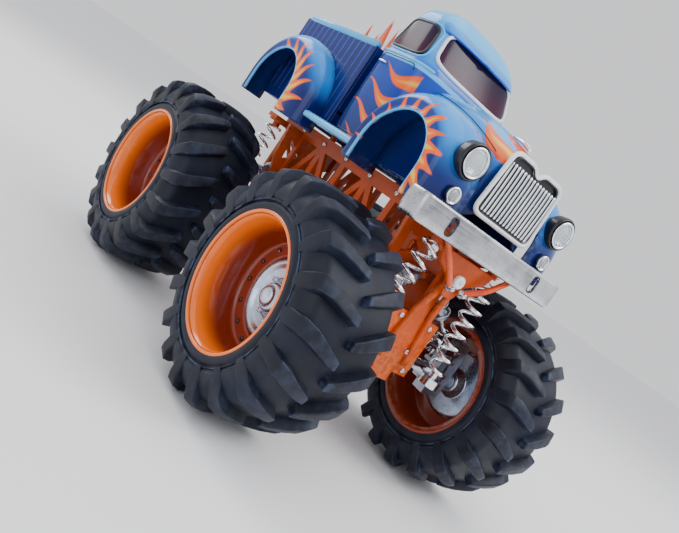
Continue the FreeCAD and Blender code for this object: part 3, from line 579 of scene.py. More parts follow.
def dust_effect():
    """Dust that settles on upward faces and in low places."""
    e = Effect("dust_film", ("Mask",), Amount=0.3, Clear_above=0.16)
    facing = e.ramp(e.normal()[2], 0.1, 1.0)
    height = e.maths("DIVIDE", e.coordinates()[2], e.given["Clear above"])
    low = e.maths("SUBTRACT", 1.0, height, clamp=True)
    patches = e.ramp(e.noise(90.0, 6), 0.38, 0.72)
    settled = e.maths("ADD", e.maths("MULTIPLY", facing, 0.5), low)
    return e.give("Mask", e.maths("MULTIPLY", e.maths("MULTIPLY", settled, patches), e.given["Amount"]))


def brushed_effect():
    """Long fine scratches along one direction."""
    e = Effect("brushed_streaks", ("Streaks",), Stretch=(6.0, 900.0, 900.0))
    stretch = e.tree.nodes.new("ShaderNodeVectorMath")
    stretch.operation = "MULTIPLY"
    e.tree.links.new(place_of(e.tree), stretch.inputs[0])
    e.tree.links.new(e.given["Stretch"], stretch.inputs[1])
    return e.give("Streaks", e.noise(1.0, 6, vector=stretch.outputs[0], roughness=0.65))


def flame_effect():
    """Tongues of painted flame that run along one coordinate and repeat across another."""
    e = Effect("painted_flames", ("Mask", "Heat"),
               Along=0.0, Across=0.0, Reach=0.05, Width=0.016, Bend=0.3, Shift=0.0)
    along, width, longest = e.given["Along"], e.given["Width"], e.given["Reach"]
    wave = e.maths("SINE", e.maths("MULTIPLY", along, 95.0))
    bend = e.maths("MULTIPLY", wave, e.maths("MULTIPLY", width, e.given["Bend"]))
    across = e.maths("ADD", e.maths("ADD", e.given["Across"], bend), e.given["Shift"])
    turns = e.maths("DIVIDE", across, width)
    spread = e.maths("PINGPONG", turns, 0.5)
    tongue = e.maths("POWER", e.maths("MULTIPLY", spread, 2.0, clamp=True), 1.6)
    # each tongue's number gives it a length of its own
    shuffled = e.maths("SINE", e.maths("MULTIPLY", e.maths("FLOOR", turns), 12.9))
    chance = e.maths("FRACT", e.maths("MULTIPLY", shuffled, 43.7))
    share = e.maths("ADD", e.maths("MULTIPLY", chance, 0.45), 0.62)
    reach = e.maths("MULTIPLY", e.maths("MULTIPLY", longest, share), tongue)
    left = e.maths("SUBTRACT", reach, along)
    e.give("Mask", e.ramp(left, -0.0002, 0.0003))
    heat = e.maths("DIVIDE", left, longest)
    return e.give("Heat", e.maths("MULTIPLY", heat, 1.0, clamp=True))


EFFECTS = {"edge wear and highlight": edge_wear_and_highlight_effect, "grain": grain_effect, "dust": dust_effect,
           "brushed": brushed_effect, "flames": flame_effect}
built_effects = {}

# reflection strength of everything that isn't metal
SOFT_SPECULAR = 0.3


class Finish(Wiring):
    """A material being put together: its tree, its shader and short ways to add effects."""

    def __init__(self, name, roughness=0.5, metallic=0.0):
        self.material = bpy.data.materials.new(name)
        self.material.use_nodes = True
        self.tree = self.material.node_tree
        self.shader = self.tree.nodes["Principled BSDF"]
        self.shader.inputs["Roughness"].default_value = roughness
        self.shader.inputs["Metallic"].default_value = metallic
        if not metallic:
            self.shader.inputs["Specular IOR Level"].default_value = SOFT_SPECULAR

    def fixed(self, **values):
        for label, value in values.items():
            self.shader.inputs[label.replace("_", " ")].default_value = value
        return self

    def into(self, socket, label):
        self.tree.links.new(socket, self.shader.inputs[label])

    def effect(self, name, output=0, **values):
        if name not in built_effects:
            built_effects[name] = EFFECTS[name]()
        node = self.tree.nodes.new("ShaderNodeGroup")
        node.node_tree = built_effects[name]
        for label, value in values.items():
            socket = node.inputs[label.replace("_", " ")]
            if isinstance(value, bpy.types.NodeSocket):
                self.tree.links.new(value, socket)
            else:
                socket.default_value = value
        return node.outputs if output is None else node.outputs[output]

    def mixed(self, mask, first, second):
        """A colour between two others; each is a socket or three numbers."""
        node = self.tree.nodes.new("ShaderNodeMix")
        node.data_type = "RGBA"
        sockets = [s for s in node.inputs if s.type == "RGBA"]
        for socket, colour in zip(sockets, (first, second)):
            if isinstance(colour, bpy.types.NodeSocket):
                self.tree.links.new(colour, socket)
            else:
                socket.default_value = (*colour, 1.0)
        factor = node.inputs[0]
        if isinstance(mask, bpy.types.NodeSocket):
            self.tree.links.new(mask, factor)
        else:
            factor.default_value = mask
        return [s for s in node.outputs if s.type == "RGBA"][0]

    def number(self, mask, low, high):
        """A number that goes from low to high with a mask."""
        span = calculated(self.tree, "MULTIPLY", mask, high - low)
        return calculated(self.tree, "ADD", span, low)

    def bump(self, height, strength=0.3, distance=0.0004):
        node = self.tree.nodes.new("ShaderNodeBump")
        node.inputs["Strength"].default_value = strength
        node.inputs["Distance"].default_value = distance
        self.tree.links.new(height, node.inputs["Height"])
        self.into(node.outputs["Normal"], "Normal")
        return self


# ---------------------------------------------------------------- materials

def rubber_finish():
    """Navy-black tyre rubber, slate dust on upward faces and low places, and slate painted highlights on the
    lug edges.
    """
    f = Finish("tyre_rubber", 0.55)
    grain = f.effect("grain", None, Scale=700.0)
    wear_and_highlight = f.effect("edge wear and highlight", Amount=0.9, Scale=160.0)
    dust = f.effect("dust", Amount=0.25, Clear_above=0.10)
    base = f.mixed(f.ramp(grain[1], 0.35, 0.7), (0.0025, 0.0035, 0.010), (0.006, 0.009, 0.024))
    # painted highlight: slate on the convex lug edges
    lug_highlights = f.mixed(wear_and_highlight, base, (0.055, 0.08, 0.15))
    f.into(f.mixed(dust, lug_highlights, (0.07, 0.08, 0.11)), "Base Color")
    f.into(f.number(grain[1], 0.38, 0.66), "Roughness")
    return f.bump(grain[0], 0.35, 0.0003)


def gloss_finish(name, dark, light, edge, roughness=0.25, grain_scale=500.0, wear_and_highlight=0.5, coat=0.4):
    """Moulded or sprayed colour with blotches, rubbed edges and a light bump."""
    f = Finish(name, roughness).fixed(Coat_Weight=coat, Coat_Roughness=0.08)
    grain = f.effect("grain", None, Scale=grain_scale)
    rubbed = f.effect("edge wear and highlight", Amount=wear_and_highlight)
    base = f.mixed(f.ramp(grain[1], 0.3, 0.72), dark, light)
    f.into(f.mixed(rubbed, base, edge), "Base Color")
    f.into(f.number(grain[1], roughness - 0.06, roughness + 0.12), "Roughness")
    return f.bump(grain[0], 0.12, 0.00015)


def metal_finish(name, dark, light, roughness, stretch=None, wear_and_highlight=0.3):
    """Metal with brushed or cast texture."""
    f = Finish(name, roughness, 1.0)
    if stretch:
        texture = f.effect("brushed", Stretch=stretch)
        broad = f.effect("grain", 1, Scale=600.0)
    else:
        texture, broad = f.effect("grain", None, Scale=1100.0)[0:2]
    rubbed = f.effect("edge wear and highlight", Amount=wear_and_highlight)
    base = f.mixed(f.ramp(broad, 0.3, 0.7), dark, light)
    base = f.mixed(f.number(f.ramp(texture, 0.3, 0.7), 0.0, 0.45), base, light)
    f.into(f.mixed(rubbed, base, (0.9, 0.9, 0.92)), "Base Color")
    f.into(f.number(texture, roughness - 0.08, roughness + 0.14), "Roughness")
    return f.bump(texture, 0.15, 0.0001)


def rim_finish():
    """Bright orange lip and flange with cream painted highlights on sharp edges; painted shade darkens the
    barrel to red-brown with depth.
    """
    f = Finish("orange_rim", 0.22).fixed(Coat_Weight=0.6, Coat_Roughness=0.06)
    depth = f.maths("ABSOLUTE", f.coordinates()[0])
    lit = f.ramp(depth, WHEEL_X + 14 * MM, WHEEL_X + 30 * MM)
    grain = f.effect("grain", None, Scale=450.0)
    bright = f.mixed(grain[1], (0.90, 0.13, 0.002), (1.0, 0.22, 0.004))
    wear_and_highlight = f.effect("edge wear and highlight", Amount=0.15)
    # painted shade: red-brown deep in the barrel, bright orange out at the lip
    base = f.mixed(lit, (0.22, 0.022, 0.004), bright)
    # painted highlight: cream on sharp edges
    f.into(f.mixed(wear_and_highlight, base, (1.0, 0.72, 0.35)), "Base Color")
    f.into(f.number(grain[1], 0.16, 0.34), "Roughness")
    return f.bump(grain[0], 0.1, 0.00015)


def body_paint_finish(name, kind):
    """Gloss enamel: azure on faces that point up, royal on the sides below, navy at the sills, with painted
    flames; the cab is azure above its belt. The azure on faces that point up, paler where they face straight
    up, is painted light from above.
    """
    chosen = paint_settings()
    azure, royal, navy, flame = map(tuple, (chosen.azure, chosen.royal, chosen.navy, chosen.flame))
    light = (0.10, 0.50, 0.93)
    f = Finish(name, 0.24).fixed(Coat_Weight=0.18, Coat_Roughness=0.05)
    x, y, z = f.coordinates()
    up = f.normal()[2]
    high = f.ramp(z, SILL_Z + 6 * MM, BELT_Z + 4 * MM)
    broad = f.effect("grain", None, Scale=420.0)
    side = f.mixed(high, navy, royal)
    # painted light from above: faces that point up take azure, paler still where they face straight up,
    # while faces turned sideways keep the royal-to-navy side colour
    lit = f.mixed(f.ramp(up, 0.82, 1.0), azure, light)
    lit_from_above = f.ramp(up, 0.05, 0.62)
    base = f.mixed(lit_from_above, side, lit)
    if kind == "cab":
        belt = f.ramp(f.maths("ABSOLUTE", f.maths("SUBTRACT", z, BELT_Z - 6 * MM)), 0.0022, 0.0012)
        above = f.ramp(z, BELT_Z - 2 * MM, BELT_Z + 12 * MM)
        base = f.mixed(above, base, f.mixed(lit_from_above, azure, light))
        base = f.mixed(belt, base, light)
        along = f.maths("SUBTRACT", y, CAB_FRONT_Y + 1 * MM)
        mask, heat = f.effect("flames", None, Along=along, Across=z, Reach=0.052, Width=0.019, Bend=0.35,
                              Shift=0.004)[0:2]
        mask = f.maths("MULTIPLY", mask, f.ramp(z, BELT_Z - 9 * MM, BELT_Z - 10 * MM))
        flank = f.ramp(f.maths("ABSOLUTE", x), CAB_X - 9 * MM, CAB_X - 8 * MM)
        mask = f.maths("MULTIPLY", mask, flank)
    elif kind == "hood":
        along = f.maths("SUBTRACT", y, NOSE_Y + 11 * MM)
        mask, heat = f.effect("flames", None, Along=along, Across=x, Reach=0.055, Width=0.021, Bend=0.25,
                              Shift=0.0105)[0:2]
        mask = f.maths("MULTIPLY", mask, f.ramp(z, ROOF_Z - 88 * MM, ROOF_Z - 86 * MM))
    elif kind == "fender":
        far = f.maths("SUBTRACT", f.maths("ABSOLUTE", y), 0.092)
        rise = f.maths("SUBTRACT", z, ARCH_Z)
        squares = [f.maths("POWER", f.maths("ABSOLUTE", value), 2.0) for value in (far, rise)]
        radius = f.maths("SQRT", f.maths("ADD", *squares))
        angle = f.maths("ARCTAN2", rise, far)
        along = f.maths("SUBTRACT", radius, 0.030)
        mask, heat = f.effect("flames", None, Along=along, Across=f.maths("MULTIPLY", angle, 0.036),
                              Reach=0.017, Width=0.0125, Bend=0.5)[0:2]
        flank = f.ramp(f.maths("ABSOLUTE", x), FENDER_X - 5 * MM, FENDER_X - 3 * MM)
        mask = f.maths("MULTIPLY", mask, flank)
    else:
        mask = None
    if mask is not None:
        hot = f.mixed(f.ramp(heat, 0.25, 0.8), flame, (1.0, 0.55, 0.03))
        edge = f.mixed(f.ramp(heat, 0.0, 0.10), (0.62, 0.03, 0.004), hot)
        base = f.mixed(mask, base, edge)
    wear_and_highlight = f.effect("edge wear and highlight", Amount=0.0 if kind == "bed" else 0.12)
    base = f.mixed(f.number(f.ramp(broad[1], 0.3, 0.75), 0.0, 0.04), base, light)
    f.into(f.mixed(wear_and_highlight, base, (0.55, 0.80, 0.95)), "Base Color")
    f.into(f.number(broad[1], 0.12, 0.28), "Roughness")
    return f.bump(broad[1], 0.06, 0.0002)


def glass_finish():
    """Smoked windows whose colour holds painted reflections: maroon low down, near black at the top, with
    dark blue streaks.
    """
    f = Finish("dark_glass", 0.1).fixed(Specular_IOR_Level=0.22, IOR=1.45)
    z = f.coordinates()[2]
    cloud = f.effect("grain", 1, Scale=300.0)
    # painted reflection: maroon low on the glass fading to near black at the top, streaked dark blue by the
    # broad grain
    reflection_fade = f.ramp(z, BELT_Z, BELT_Z + 34 * MM)
    base = f.mixed(reflection_fade, (0.055, 0.006, 0.018), (0.006, 0.006, 0.022))
    f.into(f.mixed(f.number(cloud, 0.0, 0.3), base, (0.03, 0.03, 0.09)), "Base Color")
    f.into(f.number(cloud, 0.08, 0.16), "Roughness")
    return f.bump(cloud, 0.04, 0.0002)


def lens_finish():
    """Clear ribbed headlamp cover."""
    f = Finish("lamp_glass", 0.05).fixed(Transmission_Weight=0.75, IOR=1.45, Coat_Weight=0.5)
    cloud = f.effect("grain", 1, Scale=500.0)
    f.into(f.mixed(cloud, (0.80, 0.88, 0.95), (0.97, 0.99, 1.0)), "Base Color")
    ribs = f.tree.nodes.new("ShaderNodeTexWave")
    ribs.inputs["Scale"].default_value = 160.0
    f.tree.links.new(place_of(f.tree), ribs.inputs["Vector"])
    return f.bump(ribs.outputs["Fac"], 0.3, 0.0004)


def flame_finish():
    """Moulded flames: yellow at the root, orange, then red at the tips."""
    f = Finish("orange_flame", 0.3).fixed(Coat_Weight=0.4)
    z = f.coordinates()[2]
    wave = f.maths("ADD", z, f.maths("MULTIPLY", f.effect("grain", 1, Scale=900.0), 0.03))
    low = f.mixed(f.ramp(wave, BED_FLOOR_Z + 25 * MM, BED_FLOOR_Z + 62 * MM),
                  (1.0, 0.48, 0.01), (1.0, 0.15, 0.003))
    f.into(f.mixed(f.ramp(wave, BED_FLOOR_Z + 72 * MM, BED_FLOOR_Z + 104 * MM), low, (0.72, 0.035, 0.003)),
           "Base Color")
    f.into(f.number(f.effect("grain", 0, Scale=600.0), 0.2, 0.42), "Roughness")
    return f.bump(f.effect("grain", 1, Scale=1500.0), 0.3, 0.0005)


def floor_finish():
    """Pale matt studio floor."""
    f = Finish("studio_floor", 0.7)
    cloud = f.effect("grain", 1, Scale=60.0)
    f.into(f.mixed(cloud, (0.88, 0.88, 0.89), (0.91, 0.91, 0.92)), "Base Color")
    return f


def frame_finish():
    """Orange powder coat in the chosen colour."""
    colour = tuple(paint_settings().frame)
    darker = tuple(0.72 * c for c in colour)
    return gloss_finish("orange_frame", darker, colour, (0.98, 0.40, 0.10), 0.34, 700.0, 0.2, 0.15)


METALS = {
    # finish: material, darker, lighter, roughness, brushing, edge wear
    "hub": ("hub_metal", (0.34, 0.42, 0.56), (0.66, 0.74, 0.86), 0.26),
    "bolt": ("bolt_steel", (0.50, 0.52, 0.56), (0.82, 0.84, 0.88), 0.22),
    "dark bolt": ("dark_bolt", (0.05, 0.03, 0.03), (0.12, 0.09, 0.09), 0.35),
    "tube": ("silver_tube", (0.55, 0.57, 0.62), (0.86, 0.88, 0.92), 0.16, (30.0, 900.0, 900.0)),
    "cast": ("cast_metal", (0.34, 0.38, 0.46), (0.60, 0.64, 0.72), 0.34),
    "damper": ("damper_metal", (0.22, 0.25, 0.34), (0.46, 0.50, 0.60), 0.26, (900.0, 900.0, 30.0)),
    "rod": ("polished_rod", (0.72, 0.73, 0.76), (0.92, 0.92, 0.94), 0.08),
    "spring": ("spring_chrome", (0.70, 0.72, 0.76), (0.95, 0.95, 0.97), 0.10),
    "steel": ("ground_steel", (0.36, 0.37, 0.40), (0.62, 0.63, 0.66), 0.28, (900.0, 60.0, 900.0)),
    "motor": ("motor_can", (0.25, 0.25, 0.28), (0.48, 0.48, 0.52), 0.3, (900.0, 30.0, 900.0)),
    "brass": ("brass", (0.48, 0.30, 0.08), (0.80, 0.58, 0.22), 0.24),
    "bumper": ("bumper_metal", (0.20, 0.21, 0.24), (0.72, 0.73, 0.76), 0.25, (14.0, 700.0, 700.0), 0.9),
    "chrome": ("chrome_trim", (0.70, 0.73, 0.80), (0.95, 0.96, 0.98), 0.09),
}
GLOSSES = {
    # finish: material, darker, lighter, worn edge, roughness, grain, edge wear, coat
    "plastic": ("black_plastic", (0.008, 0.009, 0.013), (0.03, 0.032, 0.04), (0.14, 0.15, 0.18), 0.42,
                1200.0, 0.5, 0.0),
    # black for seams, recesses and dark trim, and for the painted shadow under the hood spears
    "recess": ("black_recess", (0.003, 0.003, 0.006), (0.012, 0.012, 0.02), (0.05, 0.05, 0.07), 0.35,
               900.0, 0.3, 0.3),
    "battery": ("battery_wrap", (0.004, 0.016, 0.12), (0.006, 0.022, 0.15), (0.2, 0.3, 0.6), 0.3, 300.0,
                0.0),
    "light paint": ("light_blue_trim", (0.07, 0.44, 0.88), (0.11, 0.50, 0.92), (0.7, 0.9, 1.0), 0.24,
                    420.0, 0.0, 0.35),
    "navy paint": ("navy_panel", (0.002, 0.009, 0.10), (0.003, 0.014, 0.14), (0.08, 0.25, 0.6), 0.28,
                   420.0, 0.0, 0.1),
    "tow": ("red_orange_rod", (0.55, 0.03, 0.004), (0.90, 0.12, 0.01), (1.0, 0.5, 0.2), 0.3, 500.0, 0.6),
    "white": ("white_trim", (0.74, 0.76, 0.80), (0.92, 0.93, 0.95), (1.0, 1.0, 1.0), 0.28, 500.0, 0.2),
}
PAINTED = ("cab", "hood", "fender", "bed")
MATERIALS = {
    "rubber": rubber_finish,
    "rim": rim_finish,
    "frame": frame_finish,
    "glass": glass_finish,
    "lens": lens_finish,
    "flame": flame_finish,
    "floor": floor_finish,
}
made_materials = {}


def material(name):
    """The material of a finish, made the first time it is asked for."""
    if name not in made_materials:
        if name in METALS:
            made = metal_finish(*METALS[name])
        elif name in GLOSSES:
            made = gloss_finish(*GLOSSES[name])
        elif name.removesuffix(" paint") in PAINTED:
            made = body_paint_finish(name.replace(" ", "_"), name.removesuffix(" paint"))
        else:
            made = MATERIALS[name]()
        made_materials[name] = made.material
    return made_materials[name]


# ---------------------------------------------------------------- wheels

def tyre_carcass():
    """Half-round balloon carcass with moulded sidewall steps, closed into a ring."""
    crown = TYRE_RADIUS - wheel_settings().lug_height
    half = TYRE_HALF
    seat = RIM_RADIUS - 2.6 * MM
    profile = rounded_outline((
        (-half + 6 * MM, seat), (-half + 0.4 * MM, seat + 1 * MM), (-half + 0.3 * MM, seat + 6 * MM),
        (-half + 2.2 * MM, seat + 8 * MM), (-half, seat + 12 * MM), (-half + 1.5 * MM, crown - 9 * MM),
        (-half + 7 * MM, crown - 1 * MM), (0, crown + 0.4 * MM), (half - 7 * MM, crown - 1 * MM),
        (half - 1.5 * MM, crown - 9 * MM), (half, seat + 12 * MM), (half - 2.2 * MM, seat + 8 * MM),
        (half - 0.3 * MM, seat + 6 * MM), (half - 0.4 * MM, seat + 1 * MM), (half - 6 * MM, seat),
        (0, seat - 0.4 * MM),
    ), 4 * MM, 3)
    return turned_piece("tyre_carcass", profile, 96, close=True)


def tread_lug(row):
    """One chunky slanted lug that starts beside the middle and wraps over the shoulder."""
    crown = TYRE_RADIUS - wheel_settings().lug_height
    half = TYRE_HALF
    # across the tyre, root radius, top radius, turn of its middle and half its width
    stations = (
        (row * 1.2 * MM, crown - 3 * MM, TYRE_RADIUS - 0.6 * MM, -6.5 * MM, 3.4 * MM),
        (row * 8 * MM, crown - 3 * MM, TYRE_RADIUS - 0.1 * MM, -4.0 * MM, 4.4 * MM),
        (row * 17 * MM, crown - 3 * MM, TYRE_RADIUS - 0.2 * MM, 0.0, 5.2 * MM),
        (row * 26 * MM, crown - 4 * MM, TYRE_RADIUS - 1.2 * MM, 4.0 * MM, 5.8 * MM),
        (row * (half - 3 * MM), crown - 8 * MM, TYRE_RADIUS - 4.2 * MM, 6.2 * MM, 6.2 * MM),
        (row * (half - 0.4 * MM), crown - 14 * MM, TYRE_RADIUS - 10.5 * MM, 7.0 * MM, 5.6 * MM),
        (row * (half - 0.1 * MM), crown - 20 * MM, TYRE_RADIUS - 21 * MM, 7.4 * MM, 3.4 * MM),
    )
    rows = []
    for x, root, top, turn, width in stations:
        ring = []
        for sideways, radius in ((-1.18, root), (-0.86, top), (0.86, top), (1.18, root)):
            angle = (turn + sideways * width) / TYRE_RADIUS
            ring.append((x, radius * math.cos(angle), radius * math.sin(angle)))
        rows.append(ring)
    points = [p for ring in rows for p in ring]
    faces = grid_faces(len(rows), 4, close_columns=True)
    faces += [(0, 1, 2, 3), tuple(range(len(points) - 4, len(points)))]
    lug = piece_from("tread_lug", points, faces, smooth=False)
    return bevelled(lug, 0.9 * MM, 2, 30)


def make_tyre(name, side, end):
    """Carcass, two rows of lugs and sidewall rings as one piece."""
    count = wheel_settings().lug_count
    pitch = TAU / count
    pieces = [tyre_carcass()]
    for row in (-1, 1):
        lugs = grown("lugs", "ring", tread_lug(row), "rubber", Count=count, Radius=0.0,
                     Start_angle=pitch * (0.25 if row > 0 else 0.75))
        pieces.append(lugs)
    for radius in (RIM_RADIUS + 6.5 * MM, RIM_RADIUS + 9.5 * MM):
        for face in (-1, 1):
            ring = turned_piece("sidewall_ring", [
                (face * (TYRE_HALF - 1.4 * MM), radius - 0.7 * MM), (face * (TYRE_HALF - 0.2 * MM), radius),
                (face * (TYRE_HALF - 1.4 * MM), radius + 0.7 * MM)], 96, close=True)
            pieces.append(ring)
    on_wheel(joined(f"tyre_{name}_rubber", pieces),
             name, side, end, "rubber", [f"tyre_{name}"])


def make_rim(name, side, end):
    """Rolled lips, a barrel and an orange flange ring inside."""
    half = TYRE_HALF - 1 * MM
    lip = RIM_RADIUS
    barrel = RIM_RADIUS - 6 * MM
    outline = rounded_outline((
        (-half, barrel), (-half, lip), (-half + 2.6 * MM, lip), (-half + 3.4 * MM, lip - 3 * MM),
        (half - 3.4 * MM, lip - 3 * MM), (half - 2.6 * MM, lip), (half, lip),
        (half - 0.2 * MM, lip - 2.6 * MM), (half - 3 * MM, barrel + 1.2 * MM),
        (half - 9 * MM, barrel - 0.4 * MM), (half - 18 * MM, barrel - 1.6 * MM),
        (5 * MM, barrel - 2.4 * MM), (3 * MM, barrel - 4 * MM),
        (3 * MM, barrel - 13 * MM), (0.6 * MM, barrel - 14.5 * MM), (-4 * MM, barrel - 14.5 * MM),
        (-5 * MM, barrel - 3 * MM), (-14 * MM, barrel - 1 * MM),
    ), 1.6 * MM, 4)
    rim = turned_piece(f"rim_{name}_barrel", outline, 96, close=True)
    on_wheel(rim, name, side, end, "rim", [f"rim_{name}"])
    edge = turned_piece(f"rim_{name}_lip_ring", rounded_outline((
        (half - 0.1 * MM, lip - 0.4 * MM), (half + 0.7 * MM, lip - 1.2 * MM),
        (half + 0.7 * MM, lip - 2.6 * MM), (half - 1.2 * MM, lip - 3.4 * MM)), 0.8 * MM, 3), 96, close=True)
    on_wheel(edge, name, side, end, "rim")
    bolts = grown(f"rim_{name}_bolts", "ring", cap_screw(1.5 * MM, 1.6 * MM), "dark bolt",
                  Count=wheel_settings().bolt_count, Radius=barrel - 8 * MM, Start_angle=0.1)
    bolts.data.transform(Matrix.Translation(mm(3, 0, 0)))
    on_wheel(bolts, name, side, end, None)


def cap_screw(radius, height):
    """A round-headed screw along X with a hollow in its head."""
    outline = rounded_outline((
        mm(-1, 0.0), (-1 * MM, radius * 0.9), (0, radius), (height * 0.75, radius),
        (height, radius * 0.72), (height, radius * 0.42), (height * 0.35, radius * 0.38),
        (height * 0.3, 0.0)), radius * 0.3, 2)
    return turned_piece("cap_screw", outline, 10)


def hex_nut(radius, height):
    """A six-sided nut along X with a rounded stud end."""
    corners = [(radius * math.cos(TAU * i / 6), radius * math.sin(TAU * i / 6)) for i in range(6)]
    nut = prism_piece("hex_nut", corners, 0, height, "X", radius * 0.16)
    stud = turned_piece("stud", ((0, radius * 0.5), (height * 1.35, radius * 0.5),
                                 (height * 1.6, radius * 0.3), (height * 1.6, 0.0)), 10)
    return joined("hex_nut", [nut, stud])


def make_hub(name, side, end):
    """Dished silver disc with a ring of nuts round a domed cap."""
    hub = turned_piece(f"hub_{name}_disc", rounded_outline((
        mm(7, 0.0), mm(7, 4.2), mm(-13, 4.2), mm(-13, 8),
        mm(-6.4, 12), mm(-6, 26), mm(-5, 27.4), mm(2.4, 27.4),
        mm(4.2, 26.2), mm(4.2, 23.6), mm(1.4, 21), mm(0.2, 15),
        mm(1.6, 11.5), mm(6.5, 10.2), mm(8.2, 8.6), mm(8.2, 7),
        mm(10.4, 6.4), mm(11.6, 4.4), mm(12, 0.0)), 1.0 * MM, 4), 72)
    on_wheel(hub, name, side, end, "hub", [f"hub_{name}"])
    nuts = grown(f"hub_{name}_nuts", "ring", hex_nut(1.9 * MM, 2.2 * MM), "bolt",
                 Count=8, Radius=15.6 * MM, Start_angle=0.2)
    nuts.data.transform(Matrix.Translation(mm(0.3, 0, 0)))
    on_wheel(nuts, name, side, end, None)
    if end > 0:
        stub = turned_piece(f"hub_{name}_stub", rounded_outline((
            mm(-33, 0.0), mm(-33, 3.2), mm(-40, 3.2), mm(-40, 4),
            mm(-12, 4), mm(-12, 0.0)), 0.4 * MM, 2), 24)
        on_wheel(stub, name, side, end, "steel")


# ---------------------------------------------------------------- suspension and chassis

def make_spring(name, side, end):
    """A coil with flattened ends that stretches between the frame and the lower arm."""
    low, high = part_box(f"spring_{name}")
    settings = trim_settings()
    wire = settings.spring_wire
    y = end * (AXLE_Y + 18 * MM)
    top = Vector((side * 34 * MM, y, high.z - wire))
    foot = Vector((side * 46 * MM, y, low.z + wire))
    along = foot - top
    forward = Vector((0, 1, 0))
    across = along.cross(forward).normalized()
    radius = 7 * MM
    steps = 26
    count = int(settings.spring_turns * steps)
    path = []
    for i in range(count + 1):
        share = i / count
        closed = max(0.0, 1 - 9 * min(share, 1 - share))
        pull = share + (0.02 if share > 0.5 else -0.02) * closed
        angle = TAU * i / steps
        centre = top + along * min(max(pull, 0), 1)
        path.append(centre + across * radius * math.cos(angle) + forward * radius * math.sin(angle))
    spring = tube_piece(f"spring_{name}_coil", path, wire, 10)
    spring.data.materials.append(material("spring"))
    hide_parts(f"spring_{name}")
    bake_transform(spring)


CARRIED_OVER = (
    # node name or its first words, material
    ("lower_arm", "tube"), ("upper_arm", "tube"), ("carrier", "cast"), ("knuckle", "cast"),
    ("upright", "cast"), ("damper_body", "damper"), ("damper_rod", "rod"), ("drive_shaft", "steel"),
    ("output_shaft", "steel"), ("steering_rack", "steel"), ("tie_rod", "tube"), ("spur_gear", "steel"),
    ("chassis_frame", "frame"), ("gear_case", "plastic"), ("motor_pinion", "brass"), ("motor", "motor"),
    ("steering_servo", "plastic"), ("servo_horn", "plastic"), ("battery_pack", "battery"),
    ("speed_controller", "plastic"), ("power_switch", "white"),
)


def finish_for(node):
    for start, finish in CARRIED_OVER:
        if node.startswith(start):
            return finish
    return None


def dress_frame_nodes():
    """Give every node that stays visible its own finish."""
    for node in frame["nodes"]:
        finish = finish_for(node)
        if not finish:
            continue
        piece = bpy.data.objects[node]
        for index in range(max(1, len(piece.data.materials))):
            if len(piece.data.materials) <= index:
                piece.data.materials.append(material(finish))
            else:
                piece.material_slots[index].material = material(finish)


def make_frame_bolts():
    """Heads of the screws that hold the towers, rails and front bracket."""
    for end in (-1, 1):
        y = end * (AXLE_Y + 14.2 * MM)
        spots = [(sx * x, y, z) for sx in (-1, 1)
                 for x, z in (mm(18, 76), mm(16, 112), mm(10, 90))]
        screw = cap_screw(2.0 * MM, 1.6 * MM)
        turn = Vector((0, 0, end * math.pi / 2))
        bolts = grown(f"axle_bolts_{'front' if end < 0 else 'rear'}", "scatter", screw, "bolt",
                      points=spots, Turn=turn)
        settle(bolts, "chassis", None)
    for side, sign in SIDES:
        spots = [(sign * 24 * MM, -95 * MM + 38 * MM * i, 178 * MM) for i in range(6)]
        screw = cap_screw(2.2 * MM, 1.5 * MM)
        turn = Vector((0, 0, 0 if sign > 0 else math.pi))
        settle(grown(f"rail_bolts_{side}", "scatter", screw, "bolt", points=spots, Turn=turn),
               "chassis", None)


def make_front_bracket():
    """Winged orange bracket under the bumper with its white bolt and V legs."""
    y = bumper_low.y + 10 * MM
    wings = rounded_outline((
        mm(-30, 168), mm(-26, 158), mm(-9, 150), mm(-6, 138),
        mm(6, 138), mm(9, 150), mm(26, 158), mm(30, 168)), 4 * MM)
    settle(prism_piece("front_bracket", wings, y + 5 * MM, y + 9 * MM, "Y", 0.8 * MM),
           "chassis", "frame")
    boss = cap_screw(5 * MM, 3.5 * MM)
    moved(boss, Matrix.Translation((0, y + 5 * MM, 152 * MM)) @ Matrix.Rotation(-math.pi / 2, 4, "Z"))
    boss.name = "front_bracket_bolt"
    settle(boss, "chassis", "white")
    legs = []
    for side in (-1, 1):
        legs.append(tube_piece("leg", (
            (side * 5 * MM, y + 8 * MM, 146 * MM), (side * 9 * MM, y + 14 * MM, 120 * MM),
            (side * 13 * MM, -AXLE_Y - 15 * MM, 92 * MM), (side * 14 * MM, -AXLE_Y - 15 * MM, 80 * MM)),
            2.6 * MM, 10))
        low, high = (side * 27 * MM, y + 8 * MM, 164 * MM), (side * 34 * MM, -AXLE_Y - 14 * MM, 174 * MM)
        legs.append(tube_piece("brace", (low, high), 2.4 * MM, 10))
    settle(joined("front_bracket_legs", legs), "chassis", "frame")


def make_rear_truss():
    """Tall crossed bars behind the rear axle, under the tail of the frame."""
    y = AXLE_Y + 17 * MM
    top, knot, foot = 174 * MM, 118 * MM, 80 * MM
    bars = []
    for side in (-1, 1):
        x = side * 20 * MM
        bars.append(tube_piece("upright_bar", ((x, y, top), (x, y, foot)), 2.4 * MM))
        bars.append(tube_piece("cross_bar", ((x, y, 170 * MM), (-x, y, knot)), 2 * MM))
        bars.append(tube_piece("cross_bar", ((x, y, knot), (-x, y, 82 * MM)), 2 * MM))
    bars.append(tube_piece("level_bar", ((-20 * MM, y, knot), (20 * MM, y, knot)), 2.2 * MM))
    settle(joined("rear_truss", bars), "chassis", "frame")


# across from the middle and up, where a damper hangs from the tower and from the upper arm
DAMPER_TOP = mm(10, 142)
DAMPER_FOOT = mm(50, 111)
# distance down the damper and radius of each collar, and the radius of the tube inside them
COLLARS = (mm(12, 6.6), mm(15, 6.6), mm(18, 6.6), mm(27, 7.0))
COLLAR_BORE = 5.2 * MM


